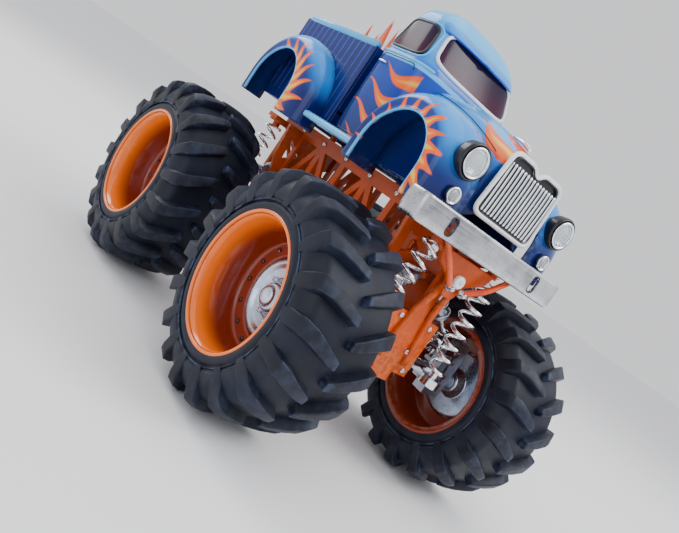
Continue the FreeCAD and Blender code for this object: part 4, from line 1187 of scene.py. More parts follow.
def make_damper_trim(name, side, end):
    """Collars and a reservoir band round a damper tube."""
    top = Vector((side * DAMPER_TOP[0], end * AXLE_Y, DAMPER_TOP[1]))
    foot = Vector((side * DAMPER_FOOT[0], end * AXLE_Y, DAMPER_FOOT[1]))
    along = (foot - top).normalized()
    lean = along.to_track_quat("X", "Z").to_matrix().to_4x4()
    rings = []
    for start, radius in COLLARS:
        ring = turned_piece("ring", ((0.0, COLLAR_BORE), (0.5 * MM, radius), (1.4 * MM, radius),
                                     (1.9 * MM, COLLAR_BORE)), 28, close=True)
        rings.append(moved(ring, Matrix.Translation(top + along * start) @ lean))
    settle(joined(f"damper_{name}_collars", rings), f"damper_body_{name}", "steel")


# ---------------------------------------------------------------- cab

CAB_POWER = 4.6
GLASS_TOP = ROOF_Z - 21 * MM


def blend_between(value, low, high):
    """0 to 1 between two limits, with soft ends."""
    share = min(max((value - low) / (high - low), 0.0), 1.0)
    return share * share * (3 - 2 * share)


def bulge(share, power):
    """Height, 0 to 1, of a rounded square's edge at a share of its half width."""
    return max(0.0, 1 - abs(share) ** power) ** (1 / power)


def cab_limits(z):
    """Half width, front and rear of the cab at a height."""
    rake = max(0.0, z - BELT_Z)
    tuck = blend_between(z, BELT_Z - 8 * MM, BELT_Z + 3 * MM)
    low_tuck = 1 - blend_between(z, SILL_Z, SILL_Z + 26 * MM)
    half = CAB_X - 2.2 * MM * tuck - rake * 0.16 - 1.6 * MM * low_tuck
    front = CAB_FRONT_Y + 1.5 * MM * tuck + rake * 0.42
    rear = CAB_REAR_Y - 1 * MM * tuck - rake * 0.22
    dome = max(0.0, (z - GLASS_TOP) / (ROOF_Z - GLASS_TOP))
    shrink = max(0.0, 1 - dome ** 2.6) ** (1 / 2.2)
    half *= shrink
    centre = (front + rear) / 2
    reach = (rear - front) / 2 * shrink
    return half, centre - reach, centre + reach


def cab_front(x, z):
    half, front, rear = cab_limits(z)
    centre, reach = (front + rear) / 2, (rear - front) / 2
    return centre - reach * bulge(x / half, CAB_POWER)


def cab_rear(x, z):
    half, front, rear = cab_limits(z)
    centre, reach = (front + rear) / 2, (rear - front) / 2
    return centre + reach * bulge(x / half, CAB_POWER)


def cab_side(y, z):
    half, front, rear = cab_limits(z)
    centre, reach = (front + rear) / 2, (rear - front) / 2
    return half * bulge((y - centre) / reach, CAB_POWER)


def power_ring(count, power):
    """Points round a rounded square of half size 1."""
    points = []
    for i in range(count):
        c, s = math.cos(TAU * i / count), math.sin(TAU * i / count)
        reach = (abs(c) ** power + abs(s) ** power) ** (-1 / power)
        points.append((c * reach, s * reach))
    return points


def make_cab():
    """The cab's shell, from the sills to the roof."""
    heights = [SILL_Z + (GLASS_TOP - SILL_Z) * i / 60 for i in range(61)]
    heights += [GLASS_TOP + (ROOF_Z - GLASS_TOP) * math.sin(math.pi / 2 * i / 16) for i in range(1, 17)]
    ring = power_ring(168, CAB_POWER)
    rows = []
    for z in heights:
        half, front, rear = cab_limits(z)
        rows.append([(half * u, (front + rear) / 2 + (rear - front) / 2 * v, z) for u, v in ring])
    cab = sheet_piece("body_cab", rows, close_columns=True)
    cab = thickened(cab, 2.2 * MM)
    settle(cab, "body", "cab paint", ["body_shell"])


def patch_on(surface, centre, half, offset, rings=14, count=72, power=5.0, taper=0.0):
    """A rounded panel that follows a surface; surface(u, v, offset) gives its points."""
    points = [surface(centre[0], centre[1], offset)]
    ring = power_ring(count, power)
    for r in range(1, rings + 1):
        share = r / rings
        for a, b in ring:
            u = centre[0] + a * half[0] * share * (1 - taper * b * share)
            v = centre[1] + b * half[1] * share
            points.append(surface(u, v, offset))
    faces = [(0, 1 + k, 1 + (k + 1) % count) for k in range(count)]
    for r in range(rings - 1):
        for k in range(count):
            a = 1 + r * count + k
            b = 1 + r * count + (k + 1) % count
            faces.append((a, a + count, b + count, b))
    return points, faces


def border_of(surface, centre, half, offset, count=72, power=5.0, taper=0.0):
    """The outline of the panel that patch_on makes."""
    path = []
    for a, b in power_ring(count, power):
        u = centre[0] + a * half[0] * (1 - taper * b)
        path.append(surface(u, centre[1] + b * half[1], offset))
    return path


def windscreen_surface(x, z, offset):
    return (x, cab_front(x, z) - offset, z)


def rear_surface(x, z, offset):
    return (x, cab_rear(x, z) + offset, z)


def side_surface(side):
    def surface(y, z, offset):
        return (side * (cab_side(y, z) + offset), y, z)
    return surface


WINDOWS = (
    # name, surface, middle, half size, taper
    ("windscreen", windscreen_surface, (0.0, BELT_Z + 16 * MM), mm(43.5, 14.2), 0.07),
    ("rear_window", rear_surface, (0.0, BELT_Z + 16 * MM), mm(33, 11), 0.05),
    ("side_window_left", side_surface(1), (-4 * MM, BELT_Z + 15 * MM), mm(19, 13), 0.14),
    ("side_window_right", side_surface(-1), (-4 * MM, BELT_Z + 15 * MM), mm(19, 13), 0.14),
)


def make_windows():
    """Glass and trim on all four sides of the cab."""
    for name, surface, centre, half, taper in WINDOWS:
        glass = piece_from(f"{name}_glass", *patch_on(surface, centre, half, 0.5 * MM, taper=taper))
        glass = thickened(glass, 0.9 * MM, 0)
        settle(glass, "body", "glass", ["window_glass"] if name == "windscreen" else ())
        front = name == "windscreen"
        trim = tube_piece(f"{name}_trim", border_of(surface, centre, half, 0.7 * MM, 96, taper=taper),
                          1.5 * MM if front else 1.1 * MM, 8, closed=True)
        settle(trim, "body", "white" if front else "recess")
        if not front:
            wider = (half[0] + 2 * MM, half[1] + 1.8 * MM)
            rim = tube_piece(f"{name}_bead", border_of(surface, centre, wider, 0.3 * MM, 96, taper=taper),
                             0.8 * MM, 8, closed=True)
            settle(rim, "body", "light paint")


def make_visor():
    """Peaked brow over the windscreen with a crease in its middle."""
    rows = []
    low_z = GLASS_TOP - 2.5 * MM
    for i in range(61):
        x = (i / 60 - 0.5) * 2 * 46 * MM
        peak = 5.0 * MM * (1 - abs(x / (46 * MM)) ** 3) + 0.8 * MM
        crease = 1.4 * MM * math.exp(-(x / (3 * MM)) ** 2)
        top = low_z + 9 * MM
        back = (x, cab_front(x, top) + 0.2 * MM, top)
        mid = (x, cab_front(x, low_z + 5 * MM) - peak * 0.72 - crease, low_z + 5 * MM)
        lip = (x, cab_front(x, low_z) - peak - crease, low_z + 0.8 * MM)
        under = (x, cab_front(x, low_z) - peak * 0.8 - crease, low_z - 0.6 * MM)
        root = (x, cab_front(x, low_z - 1 * MM) + 0.3 * MM, low_z + 0.2 * MM)
        rows.append(rounded_row((back, mid, lip, under, root)))
    settle(sheet_piece("windscreen_visor", rows, close_columns=True), "body", "hood paint")


def rounded_row(points, steps=5):
    """A smooth row through a few points, rounded at its corners."""
    flat = [Vector(p) for p in points]
    result = []
    count = len(flat)
    for i in range(count):
        before, corner, after = flat[i - 1], flat[i], flat[(i + 1) % count]
        start = corner.lerp(before, 0.35)
        stop = corner.lerp(after, 0.35)
        for k in range(steps):
            t = k / (steps - 1)
            result.append(start.lerp(corner, t).lerp(corner.lerp(stop, t), t))
    return result


def make_cab_details():
    """Door seams, handles, louvres and the belt moulding."""
    for name, side in SIDES:
        surface = side_surface(side)
        door = [(-27 * MM, SILL_Z + 8 * MM), (-27.5 * MM, BELT_Z - 6 * MM), (13 * MM, BELT_Z - 6 * MM),
                (13 * MM, SILL_Z + 8 * MM)]
        door = rounded_outline(door + [door[0], door[1]], 4 * MM, 5)[1:-1]
        path = [surface(y, z, 0.05 * MM) for y, z in denser(door, 2 * MM)]
        settle(tube_piece(f"door_seam_{name}", path, 0.45 * MM, 6), "body", "recess")
        belt = [surface(CAB_FRONT_Y + 3 * MM + i * MM, BELT_Z - 3.5 * MM, 0.1 * MM) for i in range(60)]
        settle(tube_piece(f"belt_moulding_{name}", belt, 1.3 * MM, 8), "body", "light paint")
        handle = [surface(y, BELT_Z - 14 * MM, out) for y, out in (mm(2, 0.2), mm(3, 2.4), mm(9, 2.6),
                                                                   mm(10.5, 0.2))]
        settle(tube_piece(f"door_handle_{name}", smoothed(handle), 0.9 * MM, 8),
               "body", "chrome")
        centre = (19.5 * MM, BELT_Z + 14 * MM)
        slot = piece_from(f"louvre_recess_{name}", *patch_on(surface, centre, mm(2.1, 12), 0.5 * MM,
                                                              6, 40, 3.0))
        slot = thickened(slot, 0.6 * MM, 0)
        settle(slot, "body", "recess")
        blade = tube_piece("louvre", [mm(0, -1.5, 0), mm(0, 1.5, 0)], 0.5 * MM, 6)
        first = Vector(surface(19.5 * MM, BELT_Z + 5 * MM, 0.9 * MM))
        last = Vector(surface(19.5 * MM, BELT_Z + 23 * MM, 0.9 * MM))
        blades = grown(f"louvres_{name}", "row", blade, "plastic", Count=7, First=first,
                       Step=(last - first) / 6)
        settle(blades, "body", None)


def denser(points, step):
    """More points on each straight run of a flat path."""
    result = []
    for start, stop in zip(points, points[1:]):
        length = math.dist(start, stop)
        pieces = max(1, int(length / step))
        for i in range(pieces):
            t = i / pieces
            result.append((start[0] + (stop[0] - start[0]) * t, start[1] + (stop[1] - start[1]) * t))
    result.append(points[-1])
    return result


def smoothed(points, steps=8):
    """A smooth curve through a few points in space."""
    path = [Vector(p) for p in points]
    ends = [path[0] * 2 - path[1]] + path + [path[-1] * 2 - path[-2]]
    result = []
    for a, b, c, d in zip(ends, ends[1:], ends[2:], ends[3:]):
        for i in range(steps):
            t = i / steps
            result.append(0.5 * ((2 * b) + (c - a) * t + (2 * a - 5 * b + 4 * c - d) * t * t
                                 + (3 * b - a - 3 * c + d) * t ** 3))
    result.append(path[-1])
    return result


# ---------------------------------------------------------------- hood and nose

HOOD_BACK_Y = CAB_FRONT_Y + 3 * MM
HOOD_NOSE_Y = grille_high.y + 1 * MM
HOOD_POWER = 3.4


def hood_limits(y):
    """Half width and top of the hood at a distance along it."""
    share = (HOOD_BACK_Y - y) / (HOOD_BACK_Y - HOOD_NOSE_Y)
    half = 43 * MM - 6.5 * MM * share ** 1.5
    top = BELT_Z - 5 * MM - 21 * MM * share ** 1.9
    return half, top


def hood_relief(x):
    """Height of the crease down the hood's middle, less the hollow on each side of it."""
    crease = 2.2 * MM * math.exp(-(x / (3.2 * MM)) ** 2)
    return crease - 1.6 * MM * math.exp(-((abs(x) - 17 * MM) / (8 * MM)) ** 2)


def hood_rows():
    """The hood from the windscreen's foot to its rolled nose."""
    rows = []
    base = SILL_Z
    count = 88
    for i in range(count + 1):
        share = i / count
        y = HOOD_BACK_Y + (HOOD_NOSE_Y + 4 * MM - HOOD_BACK_Y) * share
        nose = max(0.0, (HOOD_BACK_Y - y) / (HOOD_BACK_Y - HOOD_NOSE_Y) - 0.86) / 0.14
        drop = 1 - (1 - max(0.0, 1 - nose ** 2.4) ** (1 / 2.4)) * 0.72
        half, top = hood_limits(y)
        half *= 1 - 0.10 * nose ** 2
        height = (top - base) * (1 - 0.17 * (1 - drop))
        row = []
        for k in range(73):
            angle = math.pi * k / 72
            c, s = math.cos(angle), math.sin(angle)
            reach = (abs(c) ** HOOD_POWER + abs(s) ** HOOD_POWER) ** (-1 / HOOD_POWER)
            x = half * c * reach
            row.append((x, y, base + height * s * reach + hood_relief(x) * s))
        rows.append(row)
    last = rows[-1]
    middle_z = base + 26 * MM
    for shrink in (0.97, 0.9, 0.6, 0.3, 0.02):
        push = (4 * MM) * (1 - shrink ** 6)
        rows.append([(x * shrink, last[0][1] - push * 0.95, middle_z + (z - middle_z) * shrink)
                     for x, _, z in last])
    return rows


def make_hood():
    """The hood's shell."""
    hood = sheet_piece("body_hood", hood_rows())
    hood = thickened(hood, 1.8 * MM)
    settle(hood, "body", "hood paint")


def hood_height(x, y):
    """Height of the hood's skin over a place on it."""
    half, top = hood_limits(y)
    share = min(1.0, abs(x) / half)
    s = bulge(share, HOOD_POWER)
    return SILL_Z + (top - SILL_Z) * s + hood_relief(x) * s


def make_hood_details():
    """Nose ornament, spear trims along the sides and the hood's seams."""
    y = HOOD_NOSE_Y + 24 * MM
    path = smoothed([(0, y + back, hood_height(0, y + back) + up)
                     for back, up in (mm(12, 0.4), mm(0, 2.6), mm(-7, 2.2), mm(-9, 0))])
    shares = [min(1, 1.15 * i / (len(path) - 1)) for i in range(len(path))]
    radii = [0.5 * MM + 1.5 * MM * math.sin(math.pi * share) for share in shares]
    settle(tube_piece("hood_ornament", path, radii, 12), "body", "chrome")
    for name, side in SIDES:
        # spear_shadow is a thin black tube just under each spear: a painted shadow
        for label, drop, radius, finish in (("spear", 20 * MM, 1.4 * MM, "white"),
                                            ("spear_shadow", 23 * MM, 1.0 * MM, "recess")):
            path = []
            for i in range(40):
                y = HOOD_BACK_Y - 4 * MM - 58 * MM * i / 39
                half, top = hood_limits(y)
                z = top - drop
                share = (z - SILL_Z) / (top - SILL_Z)
                path.append((side * (half * bulge(share, HOOD_POWER) + 0.2 * MM), y, z))
            radii = [radius * (0.3 + 0.7 * math.sin(math.pi * (0.12 + 0.88 * i / 39)) ** 0.6)
                     for i in range(39)]
            settle(tube_piece(f"hood_{label}_{name}", path[:39], radii, 8),
                   "body", finish)
        seam = [(side * 30 * MM, HOOD_BACK_Y - 3 * MM - i * 2 * MM, 0) for i in range(42)]
        seam = [(x, y, hood_height(x, y) + 0.05 * MM) for x, y, _ in seam]
        settle(tube_piece(f"hood_seam_{name}", seam, 0.4 * MM, 6), "body", "recess")


def grille_surround(scale_x, scale_z, y):
    """Outline of the grille: tall, rounded, with a notch at its top."""
    half = (grille_high.x - grille_low.x) / 2 - 1.5 * MM
    low = grille_low.z + 1.5 * MM
    high = grille_high.z - 1.5 * MM
    corners = [(half, low), (half - 3 * MM, high), (7 * MM, high), (0, high - 6 * MM), (-7 * MM, high),
               (3 * MM - half, high), (-half, low)]
    middle_z = (low + high) / 2
    corners = [(x * scale_x, middle_z + (z - middle_z) * scale_z) for x, z in corners]
    outline = rounded_outline(corners + corners[:2], 7 * MM, 6)[1:-1]
    return [(x, y, z) for x, z in outline[:-1]]


def make_grille():
    """Surround, dark back and upright bars."""
    y = (grille_low.y + grille_high.y) / 2
    around = grille_surround(1, 1, y - 0.2 * MM)
    settle(tube_piece("grille_surround", around, 1.7 * MM, 10, closed=True),
           "body", "white", ["grille"])
    within = grille_surround(0.92, 0.93, y - 0.6 * MM)
    settle(tube_piece("grille_inner_ring", within, 0.8 * MM, 8, closed=True),
           "body", "recess")
    outline = [(x, z) for x, _, z in grille_surround(0.97, 0.97, 0)]
    settle(prism_piece("grille_back", outline, y + 0.6 * MM, y + 1.8 * MM, "Y", 0.3 * MM),
           "body", "recess")
    count = trim_settings().grille_bars
    half = 27 * MM
    low = grille_low.z + 5 * MM
    high = grille_high.z - 9 * MM
    bow = ((0, 0.8 * MM, low), (0, -0.7 * MM, low + 1.5 * MM), (0, -1.0 * MM, (low + high) / 2),
           (0, -0.7 * MM, high - 1.5 * MM), (0, 0.8 * MM, high))
    bar = tube_piece("bar", smoothed(bow, 5), 1.05 * MM, 8)
    step = 2 * half / (count - 1)
    bars = grown("grille_bars", "row", bar, "chrome", Count=count,
                 First=Vector((-half, y, 0)), Step=Vector((step, 0, 0)))
    settle(bars, "body", None)


# ---------------------------------------------------------------- fenders and running boards

# middles of the wheel openings, the fender's own radius and the opening's
FRONT_ARCH_Y = -86 * MM
REAR_ARCH_Y = 102 * MM
# how far a rear fender's middle lies ahead of its opening's, and how much longer it is in front
REAR_STEP = 6 * MM
FENDER_RADIUS = 49.5 * MM
ARCH_RADIUS = 31.5 * MM


def arch_path(centre_y, radius, front_extra, rear_extra, foot):
    """Side view of an arch: up one leg, over and down the other. Points are (y, z)."""
    points = []
    legs = 10
    for i in range(legs):
        points.append((centre_y - radius - front_extra, foot + (ARCH_Z - foot) * i / legs))
    steps = 56
    for i in range(steps + 1):
        angle = math.pi * (1 - i / steps)
        stretch = front_extra if math.cos(angle) < 0 else rear_extra
        reach = (radius + stretch * abs(math.cos(angle)) ** 1.5)
        points.append((centre_y + reach * math.cos(angle), ARCH_Z + radius * math.sin(angle)))
    for i in range(1, legs + 1):
        points.append((centre_y + radius + rear_extra, ARCH_Z + (foot - ARCH_Z) * i / legs))
    return points


def fender_rows(side, end):
    """Rows of points from the fender's outline, over its shoulder, to the wheel opening."""
    front = end < 0
    centre = FRONT_ARCH_Y if front else REAR_ARCH_Y - REAR_STEP
    inner_x = 39 * MM if front else CAB_X - 3 * MM
    foot = FOOT_Z + 0.5 * MM
    outer = arch_path(centre, FENDER_RADIUS, 0 if front else REAR_STEP, 0, foot)
    hole_y = FRONT_ARCH_Y if front else REAR_ARCH_Y
    hole = arch_path(hole_y, ARCH_RADIUS, 0, 4 * MM if front else 2 * MM, foot)
    outer_x = FENDER_X - 0.4 * MM
    # share of the way to the opening, and across from the inner edge (0) to the outer (1)
    profile = [(0.0, 0.0), (0.0, 0.25)]
    for i in range(13):
        angle = math.pi / 2 * i / 12
        profile.append((0.62 * (1 - math.cos(angle)), 0.45 + 0.55 * math.sin(angle)))
    profile += [(0.72, 0.995), (0.84, 0.985), (0.92, 0.99), (0.965, 1.0), (1.0, 0.985), (1.0, 0.94),
                (0.97, 0.90)]
    rows = []
    for (oy, oz), (hy, hz) in zip(outer, hole):
        rows.append([(side * (inner_x + (outer_x - inner_x) * across), oy + (hy - oy) * share,
                      oz + (hz - oz) * share) for share, across in profile])
    return rows


def make_fender(name, side, end):
    """A fender and the bead round its wheel opening."""
    fender = sheet_piece(f"fender_{name}", fender_rows(side, end))
    fender = thickened(fender, 1.6 * MM)
    settle(fender, "body", "fender paint")
    centre = FRONT_ARCH_Y if end < 0 else REAR_ARCH_Y
    edge = [(side * (FENDER_X - 1.6 * MM), y, z) for y, z in
            arch_path(centre, ARCH_RADIUS + 0.3 * MM, 0, (4 if end < 0 else 2) * MM, FOOT_Z + 1.5 * MM)]
    settle(tube_piece(f"arch_bead_{name}", edge, 1.25 * MM, 8), "body", "light paint")


def make_running_board(name, side):
    """A step between the fenders with ribs on top."""
    low_x, high_x = side * 53 * MM, side * 70 * MM
    board = box_piece(f"running_board_{name}", (low_x, high_x), mm(-36.8, 40.8), (SILL_Z, SILL_Z + 5 * MM),
                      1.6 * MM, 3)
    settle(board, "body", "light paint")
    rib = box_piece("rib", mm(-6.5, 6.5), mm(-0.6, 0.6), mm(-0.3, 0.7), 0.3 * MM, 1)
    ribs = grown(f"running_board_ribs_{name}", "row", rib, "light paint", Count=19,
                 First=Vector((side * 61.5 * MM, -34 * MM, SILL_Z + 5 * MM)), Step=Vector(mm(0, 4, 0)))
    settle(ribs, "body", None)


# ---------------------------------------------------------------- cargo bed

def make_bed():
    """Ribbed walls, rails, floor, mat, tailgate and tail lamps."""
    inner = CAB_X - 3 * MM
    front = CAB_REAR_Y - 1 * MM
    rear = TAIL_Y - 1.5 * MM
    top = BELT_Z - 4 * MM
    pieces = []
    for name, side in SIDES:
        wall = box_piece(f"bed_side_{name}", (side * inner, side * (CAB_X - 0.5 * MM)), (front, rear),
                         (SILL_Z, top), 1 * MM, 2)
        settle(wall, "body", "navy paint")
        rib = box_piece("rib", mm(-0.4, 1.5), mm(-1.2, 1.2), (SILL_Z + 8 * MM, top - 2 * MM),
                        0.7 * MM, 2)
        ribs = grown(f"bed_ribs_{name}", "row", rib, "bed paint", Count=13,
                     First=Vector((side * (CAB_X - 0.6 * MM), front + 6 * MM, 0)),
                     Step=Vector((0, (rear - front - 12 * MM) / 12, 0)))
        settle(ribs, "body", None)
        rail = [(side * (inner + 1.2 * MM), front + 1 * MM, top + 1 * MM),
                (side * (inner + 1.2 * MM), rear - 7 * MM, top + 1 * MM),
                (side * (inner - 6 * MM), rear - 0.8 * MM, top + 1 * MM), (0, rear - 0.8 * MM, top + 1 * MM)]
        rail = [Vector(p) for p in rail]
        flat = rounded_outline([(p.x, p.y) for p in rail], 7 * MM, 6)
        path = [(x, y, top + 1 * MM) for x, y in flat]
        settle(tube_piece(f"bed_rail_{name}", path, 3.0 * MM, 12), "body", "light paint")
    pieces.append(box_piece("floor", (-inner, inner), (front, rear), (BED_FLOOR_Z - 3 * MM, BED_FLOOR_Z),
                            0.4 * MM))
    pieces.append(box_piece("head", (-inner, inner), (front, front + 3 * MM), (SILL_Z, top), 0.8 * MM))
    pieces.append(box_piece("tail", (-inner, inner), (rear - 3 * MM, rear), (SILL_Z, top), 0.8 * MM))
    pieces.append(box_piece("mat", mm(-44, 44), mm(116, 140),
                            (BED_FLOOR_Z - 0.5 * MM, BED_FLOOR_Z + 2 * MM), 0.6 * MM))
    settle(joined("bed_floor_and_tail", pieces), "body", "navy paint")
    press = [box_piece("press", mm(-38, 38), (rear - 0.6 * MM, rear + 0.9 * MM), (z, z + 3 * MM), 0.7 * MM)
             for z in (SILL_Z + 22 * MM, SILL_Z + 34 * MM, SILL_Z + 46 * MM)]
    settle(joined("tailgate_pressings", press), "body", "bed paint")
    plank = box_piece("plank", mm(-2.6, 2.6), (front + 3 * MM, rear - 4 * MM),
                      (BED_FLOOR_Z - 0.4 * MM, BED_FLOOR_Z + 0.9 * MM), 0.4 * MM, 1)
    planks = grown("bed_floor_ribs", "row", plank, "navy paint", Count=9,
                   First=Vector(mm(-44, 0, 0)), Step=Vector(mm(11, 0, 0)))
    settle(planks, "body", None)
    lamp = [box_piece("tail_lamp", (side * 44 * MM, side * 51 * MM), (rear - 0.5 * MM, rear + 1.2 * MM),
                      (SILL_Z + 26 * MM, SILL_Z + 44 * MM), 1 * MM, 3) for side in (-1, 1)]
    settle(joined("tail_lamps", lamp), "body", "tow")


# outline of a flame's level section, as shares of its half widths
BLADE_SECTION = ((1, 0), (0.45, 0.62), (0, 1), (-0.45, 0.62),
                 (-1, 0), (-0.45, -0.62), (0, -1), (0.45, -0.62))


def flame_tongue(x, y, root, height, lean_x, lean_y, curl):
    """A tapering, curling blade of moulded flame."""
    rows = []
    steps = 22
    for i in range(steps + 1):
        t = i / steps
        swell = (1 - t ** 3.4) * (0.8 + 0.25 * math.sin(math.pi * t))
        wave = curl * math.sin(2.6 * math.pi * t) * t
        width_y = root * swell + 0.15 * MM
        width_x = root * 0.32 * swell + 0.12 * MM
        cx = x + lean_x * t ** 1.6 + wave * 0.35
        cy = y + lean_y * t ** 1.6 + wave
        z = BED_FLOOR_Z + 1 * MM + height * t
        rows.append([(cx + width_x * u, cy + width_y * v, z) for u, v in BLADE_SECTION])
    points = [p for row in rows for p in row]
    faces = grid_faces(len(rows), 8, close_columns=True)
    faces += [tuple(range(8)), tuple(range(len(points) - 8, len(points)))]
    return piece_from("tongue", points, faces)


def make_flames():
    """Three rows of tongues on a foot plate, taller in the middle."""
    front = flames_low.y
    tongues = []
    heights = (72, 86, 92, 86, 93, 84, 76)
    for row, x in enumerate(mm(-22, 0.0, 22)):
        for i, height in enumerate(heights):
            if x == 0.0 and i > 0:
                continue
            place_y = front + 10 * MM + i * 9.2 * MM
            sway = math.sin(1.7 * i + 2.1 * row)
            tall = (height + 7 * math.sin(2.3 * i + row)) * MM
            tall = min(tall, 93 * MM)
            tongues.append(flame_tongue(x + 1.2 * MM * sway, place_y, (7.4 + 0.9 * sway) * MM, tall,
                                        (1.2 * sway) * MM, (-3 - 2 * sway) * MM, (2.4 + sway) * MM))
    for i in range(5):
        x = (-16 + 8 * i) * MM
        tongues.append(flame_tongue(x, front + 10 * MM, 4.6 * MM, (74 + 14 * math.sin(2.2 * i + 1)) * MM,
                                    0.08 * x, -3 * MM, 2.2 * MM))
    settle(joined("bed_flames", tongues), "body", "flame", ["flame_ornament"])
    foot = box_piece("bed_flames_foot", mm(-26, 26), (front, flames_high.y),
                     (BED_FLOOR_Z, BED_FLOOR_Z + 3 * MM), 1.2 * MM, 3)
    settle(foot, "body", "flame")


# ---------------------------------------------------------------- lamps and front trim

def make_lamps():
    """Headlamps in dark pods on the fender fronts, with small chrome-ringed lamps under them."""
    big = 9.6 * MM
    small = 5.2 * MM
    face = lamps_low.y
    turn = Matrix.Rotation(-math.pi / 2, 4, "Z")
    for name, side in SIDES:
        x = side * (lamps_high.x - 10 * MM)
        high = Matrix.Translation((x, face, lamps_high.z - 10 * MM)) @ turn
        low = Matrix.Translation((x, face, lamps_low.z + 5.5 * MM)) @ turn
        pod = turned_piece(f"lamp_pod_{name}", rounded_outline((
            mm(-18, 0.0), mm(-17, 7), mm(-10, 12.2), mm(-3, 12.8),
            mm(-1.6, 12.2), mm(-1.4, 11), mm(-4, 10.4), mm(-6, 9),
            mm(-6, 0.0)), 1.5 * MM, 4), 56)
        settle(moved(pod, high), "body", "recess",
               ["lamps"] if side > 0 else ())
        for label, place, radius, count in (("headlamp", high, big, 48), ("fog_lamp", low, small, 36)):
            ring = turned_piece(f"{label}_bezel_{name}", rounded_outline((
                (-3 * MM, radius + 0.6 * MM), (-0.6 * MM, radius + 0.8 * MM), (-0.1 * MM, radius),
                (-0.8 * MM, radius - 1.0 * MM), (-3 * MM, radius - 1.2 * MM)), 0.6 * MM, 4),
                count, close=True)
            settle(moved(ring, place), "body", "chrome")
            bowl = turned_piece(f"{label}_bowl_{name}", rounded_outline((
                (-1.4 * MM, radius - 0.9 * MM), (-3.4 * MM, radius * 0.75), (-4.6 * MM, radius * 0.35),
                mm(-4.6, 0.0)), 1 * MM, 4), count)
            settle(moved(bowl, place), "body", "chrome")
            lens = turned_piece(f"{label}_lens_{name}", (
                (-1.3 * MM, radius - 1.0 * MM), (-0.9 * MM, radius * 0.8), (-0.4 * MM, radius * 0.5),
                mm(-0.15, 0.0), mm(-1.2, 0.0), (-1.9 * MM, radius * 0.8),
                (-2.2 * MM, radius - 1.0 * MM)), count, close=True)
            settle(moved(lens, place), "body", "lens")
        cup = turned_piece(f"fog_lamp_cup_{name}", rounded_outline((
            mm(-9, 0.0), mm(-8, 3), mm(-4, 5.6), mm(-2, 6.2),
            mm(-2, 0.0)), 1 * MM, 3), 36)
        settle(moved(cup, low), "body", "recess")


def slot_outline(x, z, half_width, half_height):
    corner = power_ring(28, 3.0)
    return [(x + half_width * u, z + half_height * v) for u, v in corner]


def make_bumper():
    """Broad rolled bar with returned ends and two upright slots, and its brackets."""
    low, high = bumper_low.z, bumper_high.z
    face = bumper_low.y
    half = bumper_high.x
    middle_z = (low + high) / 2
    section = []
    for t in range(25):
        angle = math.pi * (t / 24 - 0.5)
        depth = math.copysign(abs(math.cos(angle)) ** 0.45, math.cos(angle))
        section.append((2.6 * MM * (1 - depth), middle_z + (high - low) / 2 * math.sin(angle)))
    rows = []
    reach = half - 0.1 * MM
    path = rounded_outline(((-reach, face + 18 * MM), (-reach, face + 0.1 * MM),
                            (reach, face + 0.1 * MM), (reach, face + 18 * MM)), 7 * MM, 8)
    path = denser(path, 2 * MM)
    for i, (x, y) in enumerate(path):
        before = Vector(path[max(0, i - 1)])
        after = Vector(path[min(len(path) - 1, i + 1)])
        along = (after - before).normalized()
        inward = Vector((-along.y, along.x))
        rows.append([(x + inward.x * d, y + inward.y * d, z) for d, z in section])
    bar = sheet_piece("bumper_bar", rows)
    bar = thickened(bar, 1.8 * MM)
    cutters = [prism_piece("slot", slot_outline(side * 50 * MM, middle_z, 3.4 * MM, 6 * MM), face - 5 * MM,
                           face + 9 * MM, "Y", 0) for side in (-1, 1)]
    for cutter in cutters:
        modifier = bar.modifiers.new("slot", "BOOLEAN")
        modifier.operation = "DIFFERENCE"
        modifier.object = cutter
        modifier.solver = "EXACT"
    use_modifiers(bar)
    for cutter in cutters:
        drop(cutter)
    tidy_mesh(bar)
    weighted(bar)
    settle(bar, "chassis", "bumper", ["bumper"])
    for name, side in SIDES:
        path = [(side * 50 * MM + 3.8 * MM * u, face + 0.6 * MM, middle_z + 6.4 * MM * v)
                for u, v in power_ring(32, 3.0)]
        settle(tube_piece(f"bumper_slot_rim_{name}", path, 0.6 * MM, 6, closed=True),
               "chassis", "recess")
        arm = box_piece(f"bumper_bracket_{name}", (side * 20 * MM, side * 27 * MM),
                        (face + 2 * MM, -AXLE_Y - 26 * MM), mm(172, 181), 1 * MM)
        settle(arm, "chassis", "frame")


def make_tow_rods():
    """A V of rods from the bumper's ends down to ball pins over the front axle's middle."""
    face = bumper_low.y
    for name, side in SIDES:
        start = (side * 38 * MM, face + 8 * MM, 172 * MM)
        stop = (side * 7 * MM, face + 12 * MM, 146 * MM)
        bend = (side * 22 * MM, face + 8 * MM, 157 * MM)
        settle(tube_piece(f"tow_rod_{name}", smoothed([start, bend, stop]), 2.2 * MM, 12),
               "chassis", "tow")
        joint = turned_piece(f"tow_rod_ball_{name}", rounded_outline((
            mm(-3.4, 0.0), mm(-3.2, 2), mm(0, 3.6), mm(3.2, 2),
            mm(4.6, 1.6), mm(4.8, 0.0)), 1.2 * MM, 4), 24)
        turn = Matrix.Translation(stop) @ Matrix.Rotation(-math.pi / 2, 4, "Z")
        settle(moved(joint, turn), "chassis", "bolt")


# ---------------------------------------------------------------- stage

def area_light(name, place, target, size, power, colour=(1, 1, 1)):
    data = bpy.data.lights.new(name, "AREA")
    data.shape = "RECTANGLE"
    data.size = size[0]
    data.size_y = size[1]
    data.energy = power
    data.color = colour
    light = bpy.data.objects.new(name, data)
    light.location = place
    light.rotation_euler = (Vector(target) - Vector(place)).to_track_quat("-Z", "Y").to_euler()
    bpy.context.scene.collection.objects.link(light)


